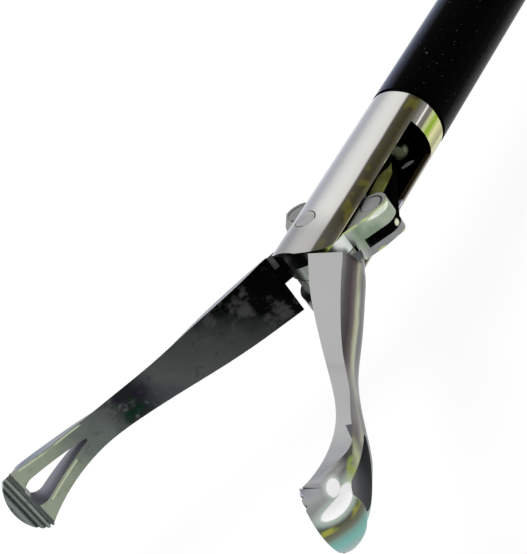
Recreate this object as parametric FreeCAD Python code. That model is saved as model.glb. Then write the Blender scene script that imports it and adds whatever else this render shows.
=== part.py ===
import FreeCAD, Part
import math
import os

# Laparoscopic grasper for a 10 mm port: double-action fenestrated jaws, insulated shaft, ring handle.
# Millimetres. +X runs along the shaft to the tip, +Z along the jaw pivot pin, the rings hang towards -Y.
# The origin is on the shaft axis, at the tip end of the black insulation. The jaws are drawn open.

# Shaft
SHAFT_R = 5.0
SHEATH_BORE_R = 4.53
SHEATH_LENGTH = 310.0
SHEATH_TUCK_R = 4.8
TUBE_R = 4.5
TUBE_BORE_R = 3.9
FIT = 0.03
RUNNING_FIT = 0.05

# Clevis
CLEVIS_R = 4.95
RELIEF_R = 4.7
RELIEF_WIDTH = 0.6
PIVOT_X = 23.3
NOSE_CENTRE = 1.75
NOSE_R = 4.2
NOSE_CHAMFER = 0.3
SLOT_START = 4.2
SLOT_WIDTH = 5.1
SPIGOT_LENGTH = 8.0
PIVOT_PIN_R = 1.25

# Jaws, measured from the pivot with the jaws closed
RIGHT_REST_DEG = 29.7
LEFT_REST_DEG = 30.8
JAW_R = 4.92
BACK_R = 3.6
SHOULDER_X = 6.25
PAD_START = 44.1
# distance from the pivot, gap from the jaw's own closing plane, half width there, then how far out and how
# far to the side the edge lies between the sloping side and the round back
JAW_STATIONS = (
    (SHOULDER_X, 0.12, 4.25, 3.56, 2.47),
    (9.0, 0.15, 4.03, 3.49, 2.50),
    (12.0, 0.20, 3.80, 3.35, 2.48),
    (18.0, 0.75, 3.30, 3.16, 2.20),
    (24.0, 1.50, 2.65, 3.12, 1.52),
    (28.5, 2.20, 2.35, 3.53, 1.13),
    (34.0, 2.65, 2.25, 4.01, 1.70),
    (39.0, 2.00, 2.80, 4.02, 2.25),
    (42.0, 1.10, 3.50, 2.38, 3.35),
    (PAD_START, 0.35, 4.30, 1.90, 3.33),
)
PAD_LEVEL = 0.05
TIP_ROUND_START = 43.6
TIP_ROUND_END = 46.7
TIP_ROUND_HEIGHT = 0.3
TIP_ROUND_CROWN = 4.2
TIP_ROUND_FLARE = 4.6
RIDGE_PITCH = 0.6
RIDGE_COUNT = 3
RIDGE_DEPTH = 0.35
RIDGE_CREST = 0.2
WINDOW_APEX = 35.3
WINDOW_APEX_R = 0.2
WINDOW_R = 1.75
WINDOW_PAST_PAD = 0.5

# Jaw hubs and tails
HUB_R = 4.2
HUB_RIM_R = 5.1
NECK_START = 3.3
NECK_OVERLAP = 0.5
NECK_INSET = 0.05
TAIL_HALF = 2.3
HUB_GAP = 0.05
TAIL_REACH = 7.3
TAIL_DEG = 22.0
TAIL_BOSS_R = 1.95
TAIL_PIN_R = 1.25
TAIL_ROOT_R = 3.2
TAIL_RELIEF = 0.25
TAIL_GAP = 0.15
BRIDGE_R = 5.35

# Links and rod tang
LINK_LENGTH = 11.5
LINK_THICKNESS = 1.2
LINK_SLOT = 1.3
LINK_END_R = 1.8
TANG_PIN_R = 0.9
EYE_SIDE_PLAY = 0.3
EYE_END_PLAY = 0.5
TANG_R = 2.3
TANG_NOSE_R = 2.0
TANG_SLOT_HALF = 1.35
TANG_SLOT_DEPTH = 3.2
TANG_LENGTH = 16.0
TANG_BORE_CLEARANCE = 0.3
ROD_R = 1.5
ROD_THREAD = 9.0
GUIDE_STEP = 100.0
GUIDE_COUNT = 2
GUIDE_LENGTH = 6.0

# Rotation knob and flush port
KNOB_LENGTH = 40.0
KNOB_OVERLAP = 10.0
KNOB_NOSE_R = 7.0
KNOB_CONE_R = 9.5
KNOB_WHEEL_R = 14.0
KNOB_TAIL_R = 8.5
KNOB_WHEEL_START = 20.0
KNOB_WHEEL_WIDTH = 12.0
KNOB_EDGE = 1.0
FLUTE_COUNT = 10
FLUTE_R = 3.2
FLUTE_DEPTH = 1.8
SET_SCREW_R = 1.2
SET_SCREW_FROM_BACK = 3.6
PORT_X_FROM_KNOB = 13.6
PORT_R = 3.0
PORT_BORE_R = 2.1
PORT_BORE_LENGTH = 9.0
PORT_CHANNEL_R = 1.0
PORT_TOP = 21.5
PORT_FLANGE_R = 3.9
PORT_FLANGE = 1.2

# Bearing of the shaft in the handle
HUB_SLEEVE_R = 6.0
HUB_SLEEVE_LENGTH = 26.0
HUB_FLANGE_R = 7.9
HUB_FLANGE = 3.0
HUB_FLANGE_FROM_KNOB = 12.9
BEARING_PLAY = 0.1
SOCKET_R = 9.0
SOCKET_START = 6.0
SOCKET_END = 28.0
CAP_FLANGE_R = 9.0
CAP_FLANGE = 3.0
CAP_EDGE = 1.0
SEAL_LENGTH = 4.0

# Handle
LEVER_ARM = 10.0
PIVOT_BACK = 44.0
BALL_R = 2.4
BALL_PLAY = 0.1
HEAD_R = 5.0
LEVER_HALF = 4.2
LEVER_BOSS_R = 7.0
CAVITY_HALF = 4.6
HOUSING_HALF = 7.5
HOUSING_TOP = 12.5
HOUSING_ROOF = 3.6
HOUSING_EDGE = 2.2
HOUSING_REAR = 15.0
HOUSING_DROP = 13.0
HOUSING_OVERLAP = 6.0
HOUSING_TOP_ROUND = 9.0
HOUSING_LOW_ROUND = 8.0
CAVITY_REACH = 40.0
CAVITY_KNEE_X = 9.0
CAVITY_KNEE_Y = -9.0
CAVITY_FOOT_X = 1.0
CAVITY_FRONT_Y = 3.0
CAVITY_FRONT_WALL = 6.0
BOSS_R = 12.5
BOSS_WALL = 4.0
BOSS_LIP = 2.0
BOSS_TAPER = 5.0
ROD_ROOM = 2.0
ROD_ROOM_LENGTH = 10.0
ARM_HALF = 5.5
ARM_EDGE = 2.0
# bends of the handle arm's front and rear edges, measured from the lever pivot
ARM_FRONT_BENDS = ((31.0, -16.0), (34.5, -33.0))
ARM_REAR_BENDS = ((10.5, -32.0), (8.5, -18.0))
ARM_TOP_Y = 2.0
ARM_TOP_REAR = 8.0
ARM_TOP_INSET = 6.0
ARM_FOOT_HALF = 10.0
RING_BAND = 7.0
RING_EDGE = 2.4
FINGER_RING_X = 21.0
FINGER_RING_Y = -76.0
FINGER_RING_BORE_R = 13.0
FINGER_RING_STRAIGHT = 20.0
THUMB_RING_X = -49.1
THUMB_RING_Y = -56.3
THUMB_RING_BORE_R = 13.0
THUMB_RING_BAND = 6.5
THUMB_ARM_BOW = 4.0
THUMB_ARM_ROOT = 7.0
THUMB_ARM_WAIST = 5.0
THUMB_ARM_END = 6.5
THUMB_ARM_EDGE = 1.2
POCKET_FLOOR = 0.3
ROD_SLOT_PLAY = 0.4
ROD_SLOT_DEPTH = 1.2
HANDLE_BOLT_R = 2.5
HANDLE_BOLT_HEAD_R = 4.5
HANDLE_BOLT_HEAD = 2.2
SCREW_SLOT = 1.0
SCREW_SLOT_DEPTH = 1.0
NUT_HOLE_R = 0.6
NUT_HOLE_DEPTH = 1.2
NUT_HOLE_X = 2.8
BUSH_R = 3.6
HF_PIN_R = 2.0
HF_ROOT_R = 2.4
HF_PIN_X = 18.0
HF_PIN_TOP = 32.0
HF_COLLAR_R = 5.0
HF_COLLAR_TOP = 18.0

# Ratchet
STROKE_DEG = 20.7
RACK_CREST_R = 40.0
RACK_TOOTH = 1.0
RACK_WIDTH = 3.5
RACK_HALF = 1.6
RACK_START_DEG = 226.0
RACK_END_DEG = 284.0
RACK_TOOTH_DEG = 2.7
RACK_TEETH = 9
RACK_TEETH_PAST_SHUT = 2
RACK_GAP_ROOT_DEG = 0.6
RACK_GAP_MOUTH_DEG = 1.25
RACK_GAP_OVERCUT = 0.6
RACK_PIN_R = 1.0
RACK_PIN_STEPS = (2.5, 7.0)
RACK_END_GAP_DEG = 0.1
RACK_SLOT_PLAY = 0.4
RACK_WAY_DEPTH = 5.0
RACK_WAY_SPARE_DEG = 3.0
PAWL_DEG = 297.0
PAWL_TIP_GAP = 0.2
PAWL_TOOTH = 2.4
PAWL_TIP_DEG = 0.4
PAWL_ROOT_DEG = 1.3
PAWL_END_R = 2.2
PAWL_END_INSET = 3.2
PAWL_SWING_DEG = 7.2
PAWL_PIVOT_FROM_RACK = 5.17
PAWL_PIVOT_DEG = 310.8
PAWL_PIN_R = 1.5
PAWL_BOSS_R = 4.0
TRIGGER_X = 17.0
TRIGGER_Y = -8.5
TRIGGER_R = 3.0
TRIGGER_ROOT_R = 3.4
RELEASE_ROOM_STEPS = 3

V = FreeCAD.Vector
AXIS_X = V(1, 0, 0)
AXIS_Y = V(0, 1, 0)
AXIS_Z = V(0, 0, 1)
CENTRE = V(0, 0, 0)
SAME = 1e-6


# Plain shapes

def bar_x(radius, x_from, x_to, y=0.0, z=0.0):
    return Part.makeCylinder(radius, x_to - x_from, V(x_from, y, z), AXIS_X)


def bar_y(radius, y_from, y_to, x=0.0, z=0.0):
    return Part.makeCylinder(radius, y_to - y_from, V(x, y_from, z), AXIS_Y)


def bar_z(radius, z_from, z_to, x=0.0, y=0.0):
    return Part.makeCylinder(radius, z_to - z_from, V(x, y, z_from), AXIS_Z)


def block(x_from, x_to, y_from, y_to, z_from, z_to):
    corner = V(x_from, y_from, z_from)
    return Part.makeBox(x_to - x_from, y_to - y_from, z_to - z_from, corner)


def polar(radius, degrees, centre=CENTRE):
    angle = math.radians(degrees)
    return V(centre.x + radius * math.cos(angle), centre.y + radius * math.sin(angle), centre.z)


def line(start, end):
    return Part.LineSegment(start, end).toShape()


def arc(start, middle, end):
    return Part.Arc(start, middle, end).toShape()


def curve(points):
    spline = Part.BSplineCurve()
    spline.interpolate(points)
    return spline.toShape()


def slab(edges, half, z_middle=0.0):
    """Closed outline in the XY plane, made a plate of the given half thickness."""
    outline = Part.Face(Part.Wire(Part.__sortEdges__(edges)))
    outline.translate(V(0, 0, z_middle - half))
    return outline.extrude(V(0, 0, 2 * half))


def rounded(shape, radius, half):
    """Rounds the edges that lie in the two broad faces of a plate centred on the XY plane."""
    rim = [edge for edge in shape.Edges if abs(abs(edge.CenterOfMass.z) - half) < SAME]
    return shape.makeFillet(radius, rim)


def strap_edges(first, first_r, second, second_r):
    """Outline of two circles joined by their outer tangents."""
    run = second - first
    heading = math.degrees(math.atan2(run.y, run.x))
    spread = math.degrees(math.acos((first_r - second_r) / run.Length))
    a_left = polar(first_r, heading + spread, first)
    a_right = polar(first_r, heading - spread, first)
    b_left = polar(second_r, heading + spread, second)
    b_right = polar(second_r, heading - spread, second)
    a_back = polar(first_r, heading + 180, first)
    b_front = polar(second_r, heading, second)
    return [
        line(a_left, b_left),
        arc(b_left, b_front, b_right),
        line(b_right, a_right),
        arc(a_right, a_back, a_left),
    ]


def strap(first, first_r, second, second_r, z_from, z_to):
    half = (z_to - z_from) / 2
    return slab(strap_edges(first, first_r, second, second_r), half, z_from + half)


def polygon(points):
    return [line(a, b) for a, b in zip(points, points[1:] + points[:1])]


def turned(profile):
    """Profile of (x, radius) corners turned about the shaft axis."""
    corners = [V(x, radius, 0) for x, radius in profile]
    face = Part.Face(Part.Wire(polygon(corners)))
    return face.revolve(CENTRE, AXIS_X, 360)


def sector(inner_r, outer_r, from_deg, to_deg, half, centre):
    """Flat ring segment about a centre in the XY plane."""
    middle = (from_deg + to_deg) / 2
    corners = [polar(r, a, centre) for r, a in (
        (inner_r, from_deg), (outer_r, from_deg), (outer_r, to_deg), (inner_r, to_deg))]
    edges = [
        line(corners[0], corners[1]),
        arc(corners[1], polar(outer_r, middle, centre), corners[2]),
        line(corners[2], corners[3]),
        arc(corners[3], polar(inner_r, middle, centre), corners[0]),
    ]
    return slab(edges, half)


def corner_arc(x, y, radius, inward_x, inward_y):
    """Quarter round at a corner of an outline; the signs point from the corner into the plate."""
    sink = radius * (1 - math.sqrt(0.5))
    start = V(x + inward_x * radius, y, 0)
    middle = V(x + inward_x * sink, y + inward_y * sink, 0)
    end = V(x, y + inward_y * radius, 0)
    return arc(start, middle, end)


def band_section(centre, bore_r, band, half, edge):
    """Rounded cross-section of a finger ring, in the plane through its axis."""
    shape = Part.makeBox(band, band, 2 * half, V(centre.x + bore_r, centre.y - band, -half))
    corners = [e for e in shape.Edges if abs(e.tangentAt(e.FirstParameter).y) > 1 - SAME]
    shape = shape.makeFillet(edge, corners)
    faces = [f for f in shape.Faces if abs(f.CenterOfMass.y - centre.y) < SAME]
    return faces[0]


def finger_loop(centre, bore_r, band, straight, half, edge):
    """Ring for a finger: two half rounds joined by straight runs along Y."""
    upper = centre + V(0, straight / 2, 0)
    lower = centre - V(0, straight / 2, 0)
    top = band_section(upper, bore_r, band, half, edge).revolve(upper, AXIS_Z, 180)
    bottom = band_section(lower, bore_r, band, half, edge).revolve(lower, AXIS_Z, -180)
    if straight == 0:
        return top.fuse(bottom).removeSplitter()
    right = band_section(lower, bore_r, band, half, edge).extrude(V(0, straight, 0))
    left = right.mirror(centre, AXIS_X)
    return top.multiFuse([bottom, right, left]).removeSplitter()


# Places worked out from the sizes above

PIVOT = V(PIVOT_X, 0, 0)
LEFT_TAIL = polar(TAIL_REACH, 180 - TAIL_DEG - LEFT_REST_DEG)
RIGHT_TAIL = polar(TAIL_REACH, 180 + TAIL_DEG + RIGHT_REST_DEG)
LINK_RUN = math.sqrt(LINK_LENGTH ** 2 - LEFT_TAIL.y ** 2)
TANG_X = PIVOT_X + LEFT_TAIL.x - LINK_RUN
TANG_PIN = V(TANG_X, 0, 0)
KNOB_FRONT = KNOB_OVERLAP - SHEATH_LENGTH
KNOB_BACK = KNOB_FRONT - KNOB_LENGTH
SLEEVE_BACK = KNOB_BACK - HUB_SLEEVE_LENGTH
FLANGE_FRONT = KNOB_BACK - HUB_FLANGE_FROM_KNOB
FLANGE_BACK = FLANGE_FRONT - HUB_FLANGE
SOCKET_FRONT = KNOB_BACK - SOCKET_START
SOCKET_BACK = KNOB_BACK - SOCKET_END
LEVER_TILT = STROKE_DEG / 2
LEVER_PIVOT = V(KNOB_BACK - PIVOT_BACK, -LEVER_ARM * math.cos(math.radians(LEVER_TILT)), 0)
BALL = LEVER_PIVOT + polar(LEVER_ARM, 90 - LEVER_TILT)
THUMB_RING = LEVER_PIVOT + V(THUMB_RING_X, THUMB_RING_Y, 0)
FINGER_RING = LEVER_PIVOT + V(FINGER_RING_X, FINGER_RING_Y, 0)
RACK_ROOT_R = RACK_CREST_R - RACK_TOOTH
RACK_INNER_R = RACK_CREST_R - RACK_WIDTH
PAWL_BITE_R = RACK_ROOT_R + PAWL_TIP_GAP
PAWL_PIVOT = polar(RACK_CREST_R + PAWL_PIVOT_FROM_RACK, PAWL_PIVOT_DEG, LEVER_PIVOT)
PORT_X = KNOB_FRONT - PORT_X_FROM_KNOB
PORT_SEAT = PORT_TOP - PORT_BORE_LENGTH
KNOB_SCREW_X = KNOB_BACK + SET_SCREW_FROM_BACK
HF_X = KNOB_BACK - HF_PIN_X


# Tip

def jaw_clevis():
    nose = PIVOT_X + NOSE_CENTRE + NOSE_R
    body = turned([
        (-SPIGOT_LENGTH, 0),
        (-SPIGOT_LENGTH, TUBE_BORE_R - FIT),
        (0, TUBE_BORE_R - FIT),
        (0, RELIEF_R),
        (RELIEF_WIDTH, RELIEF_R),
        (RELIEF_WIDTH, CLEVIS_R),
        (nose - NOSE_CHAMFER, CLEVIS_R),
        (nose, CLEVIS_R - NOSE_CHAMFER),
        (nose, 0),
    ])
    body = body.cut(bar_x(TANG_R + TANG_BORE_CLEARANCE, -SPIGOT_LENGTH, SLOT_START + CLEVIS_R))
    half = SLOT_WIDTH / 2
    body = body.cut(block(SLOT_START, nose, -SHAFT_R, SHAFT_R, -half, half))
    square_part = block(-SPIGOT_LENGTH, PIVOT_X + NOSE_CENTRE, -SHAFT_R, SHAFT_R, -SHAFT_R, SHAFT_R)
    round_end = bar_z(NOSE_R, -SHAFT_R, SHAFT_R, PIVOT_X + NOSE_CENTRE)
    body = body.common(square_part.fuse(round_end))
    return body.cut(bar_z(PIVOT_PIN_R + FIT, -SHAFT_R, SHAFT_R, PIVOT_X))


def pivot_pin():
    pin = bar_z(PIVOT_PIN_R, -CLEVIS_R, CLEVIS_R, PIVOT_X)
    return pin.common(bar_x(CLEVIS_R, 0, PIVOT_X + SHAFT_R))


def crown(edge_y, edge_z):
    """Highest point of a round back that starts at the given edge."""
    return edge_y + BACK_R - math.sqrt(BACK_R ** 2 - edge_z ** 2)


def jaw_section(x, inner, half_width, edge_y, edge_z):
    inner_far = V(x, inner, -half_width)
    inner_near = V(x, inner, half_width)
    back_near = V(x, edge_y, edge_z)
    back_far = V(x, edge_y, -edge_z)
    return Part.Wire([
        line(inner_far, inner_near),
        line(inner_near, back_near),
        arc(back_near, V(x, crown(edge_y, edge_z), 0), back_far),
        line(back_far, inner_far),
    ])


def jaw_tip_round():
    """Egg-shaped end that the gripping tip is trimmed to."""
    egg = Part.makeSphere(1.0, CENTRE, AXIS_Z, -90, 90, 360)
    grow = FreeCAD.Matrix()
    grow.scale(TIP_ROUND_END - TIP_ROUND_START, TIP_ROUND_CROWN - TIP_ROUND_HEIGHT, TIP_ROUND_FLARE)
    egg = egg.transformGeometry(grow)
    egg.translate(V(TIP_ROUND_START, TIP_ROUND_HEIGHT, 0))
    return egg


def jaw_pad():
    """Gripping end with its cross ridges."""
    half_width, edge_y, edge_z = JAW_STATIONS[-1][2:]
    section = jaw_section(PAD_START, PAD_LEVEL, half_width, edge_y, edge_z)
    pad = Part.Face(section).extrude(V(TIP_ROUND_END - PAD_START, 0, 0))
    pad = pad.common(jaw_tip_round())
    for index in range(RIDGE_COUNT):
        start = PAD_START + RIDGE_CREST + index * RIDGE_PITCH
        middle = start + (RIDGE_PITCH - RIDGE_CREST) / 2
        end = start + RIDGE_PITCH - RIDGE_CREST
        groove = slab(polygon([
            V(start, 0, 0), V(middle, PAD_LEVEL + RIDGE_DEPTH, 0), V(end, 0, 0)]), SHAFT_R)
        pad = pad.cut(groove)
    return pad


def jaw_window():
    middle = PAD_START + WINDOW_PAST_PAD - WINDOW_R
    window = strap(V(WINDOW_APEX, 0, 0), WINDOW_APEX_R, V(middle, 0, 0), WINDOW_R, 0, 2 * SHAFT_R)
    window.rotate(CENTRE, AXIS_X, -90)
    return window


def jaw_tail():
    """Hub on the far side of the pivot plane and the forked tail that takes a link."""
    tail = polar(TAIL_REACH, 180 + TAIL_DEG)
    envelope = bar_x(JAW_R, -2 * TAIL_REACH, SHOULDER_X + NECK_OVERLAP)
    arm = strap(CENTRE, TAIL_ROOT_R, tail, TAIL_BOSS_R, -TAIL_HALF, TAIL_HALF)
    arm = arm.cut(bar_z(HUB_R + TAIL_RELIEF, -HUB_GAP, TAIL_HALF))
    reach = 2 * TAIL_REACH
    arm = arm.cut(block(-reach, 0, -TAIL_GAP, reach, -TAIL_HALF, TAIL_HALF))
    link_slot = block(-reach, reach, -reach, reach, 0, LINK_SLOT)
    link_slot = link_slot.cut(bar_z(BRIDGE_R, 0, LINK_SLOT))
    hub = bar_z(HUB_R, -TAIL_HALF, -HUB_GAP)
    rim = bar_z(HUB_RIM_R, -TAIL_HALF, -HUB_GAP)
    rim = rim.common(block(NECK_START, HUB_RIM_R, -HUB_RIM_R, HUB_RIM_R, -TAIL_HALF, -HUB_GAP))
    inner = JAW_STATIONS[0][1]
    back = crown(*JAW_STATIONS[0][3:])
    neck_end = SHOULDER_X + NECK_OVERLAP
    neck = block(NECK_START, neck_end, inner, JAW_R, -TAIL_HALF, -HUB_GAP)
    neck = neck.common(bar_x(BACK_R - NECK_INSET, NECK_START, neck_end, back - BACK_R))
    tail_part = hub.multiFuse([rim, arm.cut(link_slot), neck])
    return tail_part.common(envelope)


def closed_jaw():
    blade = Part.makeLoft([jaw_section(*station) for station in JAW_STATIONS], True, False)
    jaw = blade.cut(jaw_window()).multiFuse([jaw_pad(), jaw_tail()])
    tail = polar(TAIL_REACH, 180 + TAIL_DEG)
    jaw = jaw.cut(bar_z(TAIL_PIN_R + FIT, -SHAFT_R, SHAFT_R, tail.x, tail.y))
    return jaw.cut(bar_z(PIVOT_PIN_R + RUNNING_FIT, -SHAFT_R, SHAFT_R))


def tail_pin():
    tail = polar(TAIL_REACH, 180 + TAIL_DEG)
    return bar_z(TAIL_PIN_R, -TAIL_HALF, TAIL_HALF, tail.x, tail.y)


def open_right(shape):
    placed = shape.copy()
    placed.rotate(CENTRE, AXIS_Z, RIGHT_REST_DEG)
    placed.translate(PIVOT)
    return placed


def open_left(shape):
    placed = shape.copy()
    placed.rotate(CENTRE, AXIS_X, 180)
    placed.rotate(CENTRE, AXIS_Z, -LEFT_REST_DEG)
    placed.translate(PIVOT)
    return placed


def link(tail, z_from):
    """Plate from a tail pin towards the tang pin, with a slightly long eye for the tang pin."""
    along = (tail - TANG_PIN).normalize()
    eye = tail - along * LINK_LENGTH
    plate = strap(tail, LINK_END_R, eye, LINK_END_R, z_from, z_from + LINK_THICKNESS)
    plate = plate.cut(bar_z(TAIL_PIN_R + RUNNING_FIT, -SHAFT_R, SHAFT_R, tail.x, tail.y))
    shift = along * (EYE_END_PLAY - EYE_SIDE_PLAY)
    eye_r = TANG_PIN_R + EYE_SIDE_PLAY
    return plate.cut(strap(eye - shift, eye_r, eye + shift, eye_r, -SHAFT_R, SHAFT_R))


def rod_tang():
    back = TANG_X + TANG_NOSE_R - TANG_LENGTH
    shank = bar_x(TANG_R, back, TANG_X + TANG_R)
    taper = strap(TANG_PIN, TANG_NOSE_R, V(back, 0, 0), TANG_R, -TANG_R, TANG_R)
    tang = shank.common(taper)
    front = TANG_X + TANG_R
    gap = block(TANG_X - TANG_SLOT_DEPTH, front, -TANG_R, TANG_R, -TANG_SLOT_HALF, TANG_SLOT_HALF)
    tang = tang.cut(gap)
    tang = tang.cut(bar_x(ROD_R + FIT, back, back + ROD_THREAD))
    return tang.cut(bar_z(TANG_PIN_R + FIT, -TANG_R, TANG_R, TANG_X))


def tang_pin():
    pin = bar_z(TANG_PIN_R, -TANG_R, TANG_R, TANG_X)
    return pin.common(bar_x(TANG_R, TANG_X - TANG_R, TANG_X + TANG_R))


# Shaft

def insulation_sheath():
    return turned([
        (-SHEATH_LENGTH, SHEATH_BORE_R),
        (-SHEATH_LENGTH, SHEATH_TUCK_R),
        (KNOB_FRONT, SHEATH_TUCK_R),
        (KNOB_FRONT, SHAFT_R),
        (0, SHAFT_R),
        (0, SHEATH_BORE_R),
    ])


def outer_tube():
    tube = bar_x(TUBE_R, SLEEVE_BACK, 0).cut(bar_x(TUBE_BORE_R, SLEEVE_BACK, 0))
    return tube.cut(bar_y(PORT_CHANNEL_R, 0, SHAFT_R, PORT_X))


def push_rod():
    front = TANG_X + TANG_NOSE_R - TANG_LENGTH + ROD_THREAD
    return bar_x(ROD_R, BALL.x, front - FIT)


def rod_guides():
    discs = []
    for index in range(GUIDE_COUNT):
        back = -GUIDE_STEP * (index + 1)
        disc = bar_x(TUBE_BORE_R - FIT, back, back + GUIDE_LENGTH)
        discs.append(disc.cut(bar_x(ROD_R + RUNNING_FIT, back, back + GUIDE_LENGTH)))
    return Part.makeCompound(discs)


def rod_seal():
    seal = bar_x(TUBE_BORE_R - FIT, SLEEVE_BACK, SLEEVE_BACK + SEAL_LENGTH)
    return seal.cut(bar_x(ROD_R + RUNNING_FIT, SLEEVE_BACK, SLEEVE_BACK + SEAL_LENGTH))


def rod_ball():
    ball = Part.makeSphere(BALL_R, BALL)
    return ball.cut(bar_x(ROD_R + FIT, BALL.x - FIT, BALL.x + BALL_R))


def rotation_knob():
    wheel_front = KNOB_FRONT - KNOB_WHEEL_START
    wheel_back = wheel_front - KNOB_WHEEL_WIDTH
    bevel = KNOB_WHEEL_R - KNOB_CONE_R
    knob = turned([
        (KNOB_FRONT, SHEATH_TUCK_R + FIT),
        (KNOB_FRONT, KNOB_NOSE_R),
        (wheel_front + bevel / 2, KNOB_CONE_R),
        (wheel_front, KNOB_WHEEL_R - KNOB_EDGE),
        (wheel_front - KNOB_EDGE, KNOB_WHEEL_R),
        (wheel_back + KNOB_EDGE, KNOB_WHEEL_R),
        (wheel_back, KNOB_WHEEL_R - KNOB_EDGE),
        (wheel_back - bevel / 2, KNOB_TAIL_R),
        (KNOB_BACK, KNOB_TAIL_R),
        (KNOB_BACK, TUBE_R + FIT),
        (-SHEATH_LENGTH, TUBE_R + FIT),
        (-SHEATH_LENGTH, SHEATH_TUCK_R + FIT),
    ])
    for index in range(FLUTE_COUNT):
        angle = math.radians(360.0 * (index + 0.5) / FLUTE_COUNT)
        reach = KNOB_WHEEL_R + FLUTE_R - FLUTE_DEPTH
        flute = bar_x(FLUTE_R, wheel_back - bevel, wheel_front + bevel,
                      reach * math.cos(angle), reach * math.sin(angle))
        knob = knob.cut(flute)
    knob = knob.cut(bar_y(PORT_R + FIT, 0, PORT_TOP, PORT_X))
    return knob.cut(bar_y(SET_SCREW_R + FIT, TUBE_R, KNOB_TAIL_R, KNOB_SCREW_X))


def knob_screw():
    socket_floor = KNOB_TAIL_R - SET_SCREW_R
    screw = bar_y(SET_SCREW_R, TUBE_R + FIT, KNOB_TAIL_R - FIT, KNOB_SCREW_X)
    return screw.cut(bar_y(SET_SCREW_R / 2, socket_floor, KNOB_TAIL_R, KNOB_SCREW_X))


def port_stem():
    """Lower part of the flush port, seated on the tube over its side hole."""
    stem = bar_y(PORT_R, TUBE_R + 2 * FIT, PORT_SEAT, PORT_X)
    stem = stem.cut(bar_x(TUBE_R + FIT, PORT_X - PORT_R, PORT_X + PORT_R))
    return stem.cut(bar_y(PORT_CHANNEL_R, 0, PORT_SEAT, PORT_X))


def flush_port():
    port = bar_y(PORT_R, PORT_SEAT, PORT_TOP, PORT_X)
    port = port.fuse(bar_y(PORT_FLANGE_R, PORT_TOP - PORT_FLANGE, PORT_TOP, PORT_X))
    return port.cut(bar_y(PORT_BORE_R, PORT_SEAT, PORT_TOP, PORT_X))


def shaft_hub():
    return turned([
        (KNOB_BACK, TUBE_R + FIT),
        (KNOB_BACK, HUB_SLEEVE_R),
        (FLANGE_FRONT, HUB_SLEEVE_R),
        (FLANGE_FRONT, HUB_FLANGE_R),
        (FLANGE_BACK, HUB_FLANGE_R),
        (FLANGE_BACK, HUB_SLEEVE_R),
        (SLEEVE_BACK, HUB_SLEEVE_R),
        (SLEEVE_BACK, TUBE_R + FIT),
    ])


# Handle

def front_socket():
    seat = FLANGE_BACK - BEARING_PLAY
    sleeve_bore = HUB_SLEEVE_R + RUNNING_FIT
    socket = turned([
        (SOCKET_BACK, sleeve_bore),
        (SOCKET_BACK, SOCKET_R),
        (SOCKET_FRONT, SOCKET_R),
        (SOCKET_FRONT, HUB_FLANGE_R + BEARING_PLAY),
        (seat, HUB_FLANGE_R + BEARING_PLAY),
        (seat, sleeve_bore),
    ])
    return socket


def socket_cap():
    plug = HUB_FLANGE_R + BEARING_PLAY - FIT
    sleeve_bore = HUB_SLEEVE_R + RUNNING_FIT
    return turned([
        (FLANGE_FRONT + BEARING_PLAY, sleeve_bore),
        (FLANGE_FRONT + BEARING_PLAY, plug),
        (SOCKET_FRONT, plug),
        (SOCKET_FRONT, CAP_FLANGE_R),
        (SOCKET_FRONT + CAP_FLANGE, CAP_FLANGE_R - CAP_EDGE),
        (SOCKET_FRONT + CAP_FLANGE, sleeve_bore),
    ])


def housing():
    """Hollow upper body that holds the lever pivot."""
    rear = LEVER_PIVOT.x - HOUSING_REAR
    front = SOCKET_BACK + HOUSING_OVERLAP
    low = LEVER_PIVOT.y - HOUSING_DROP
    edges = [
        line(V(front, HOUSING_TOP, 0), V(rear + HOUSING_TOP_ROUND, HOUSING_TOP, 0)),
        corner_arc(rear, HOUSING_TOP, HOUSING_TOP_ROUND, 1, -1),
        line(V(rear, HOUSING_TOP - HOUSING_TOP_ROUND, 0), V(rear, low + HOUSING_LOW_ROUND, 0)),
        corner_arc(rear, low, HOUSING_LOW_ROUND, 1, 1),
        line(V(rear + HOUSING_LOW_ROUND, low, 0), V(front, low, 0)),
        line(V(front, low, 0), V(front, HOUSING_TOP, 0)),
    ]
    return rounded(slab(edges, HOUSING_HALF), HOUSING_EDGE, HOUSING_HALF)


def handle_arm():
    """Arm from the housing down to the finger ring, bowed on both sides."""
    top_y = LEVER_PIVOT.y + ARM_TOP_Y
    foot_y = FINGER_RING.y + FINGER_RING_STRAIGHT / 2 + FINGER_RING_BORE_R + RING_BAND / 2
    front = [V(SOCKET_FRONT - ARM_TOP_INSET, top_y, 0)]
    front += [LEVER_PIVOT + V(x, y, 0) for x, y in ARM_FRONT_BENDS]
    front += [V(FINGER_RING.x + ARM_FOOT_HALF, foot_y, 0)]
    rear = [V(FINGER_RING.x - ARM_FOOT_HALF, foot_y, 0)]
    rear += [LEVER_PIVOT + V(x, y, 0) for x, y in ARM_REAR_BENDS]
    rear += [V(LEVER_PIVOT.x + ARM_TOP_REAR, top_y, 0)]
    edges = [curve(front), line(front[-1], rear[0]), curve(rear), line(rear[-1], front[0])]
    return rounded(slab(edges, ARM_HALF), ARM_EDGE, ARM_HALF)


def lever_cavity():
    """Room for the thumb lever, open at the back and below."""
    pivot = LEVER_PIVOT
    roof = HOUSING_TOP - HOUSING_ROOF
    front = SOCKET_BACK - CAVITY_FRONT_WALL
    edges = polygon([
        V(front, roof, 0),
        V(pivot.x - CAVITY_REACH, roof, 0),
        V(pivot.x - CAVITY_REACH, pivot.y - CAVITY_REACH, 0),
        V(pivot.x + CAVITY_FOOT_X, pivot.y - CAVITY_REACH, 0),
        V(pivot.x + CAVITY_KNEE_X, pivot.y + CAVITY_KNEE_Y, 0),
        V(front, pivot.y + CAVITY_FRONT_Y, 0),
    ])
    return slab(edges, CAVITY_HALF)


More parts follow.
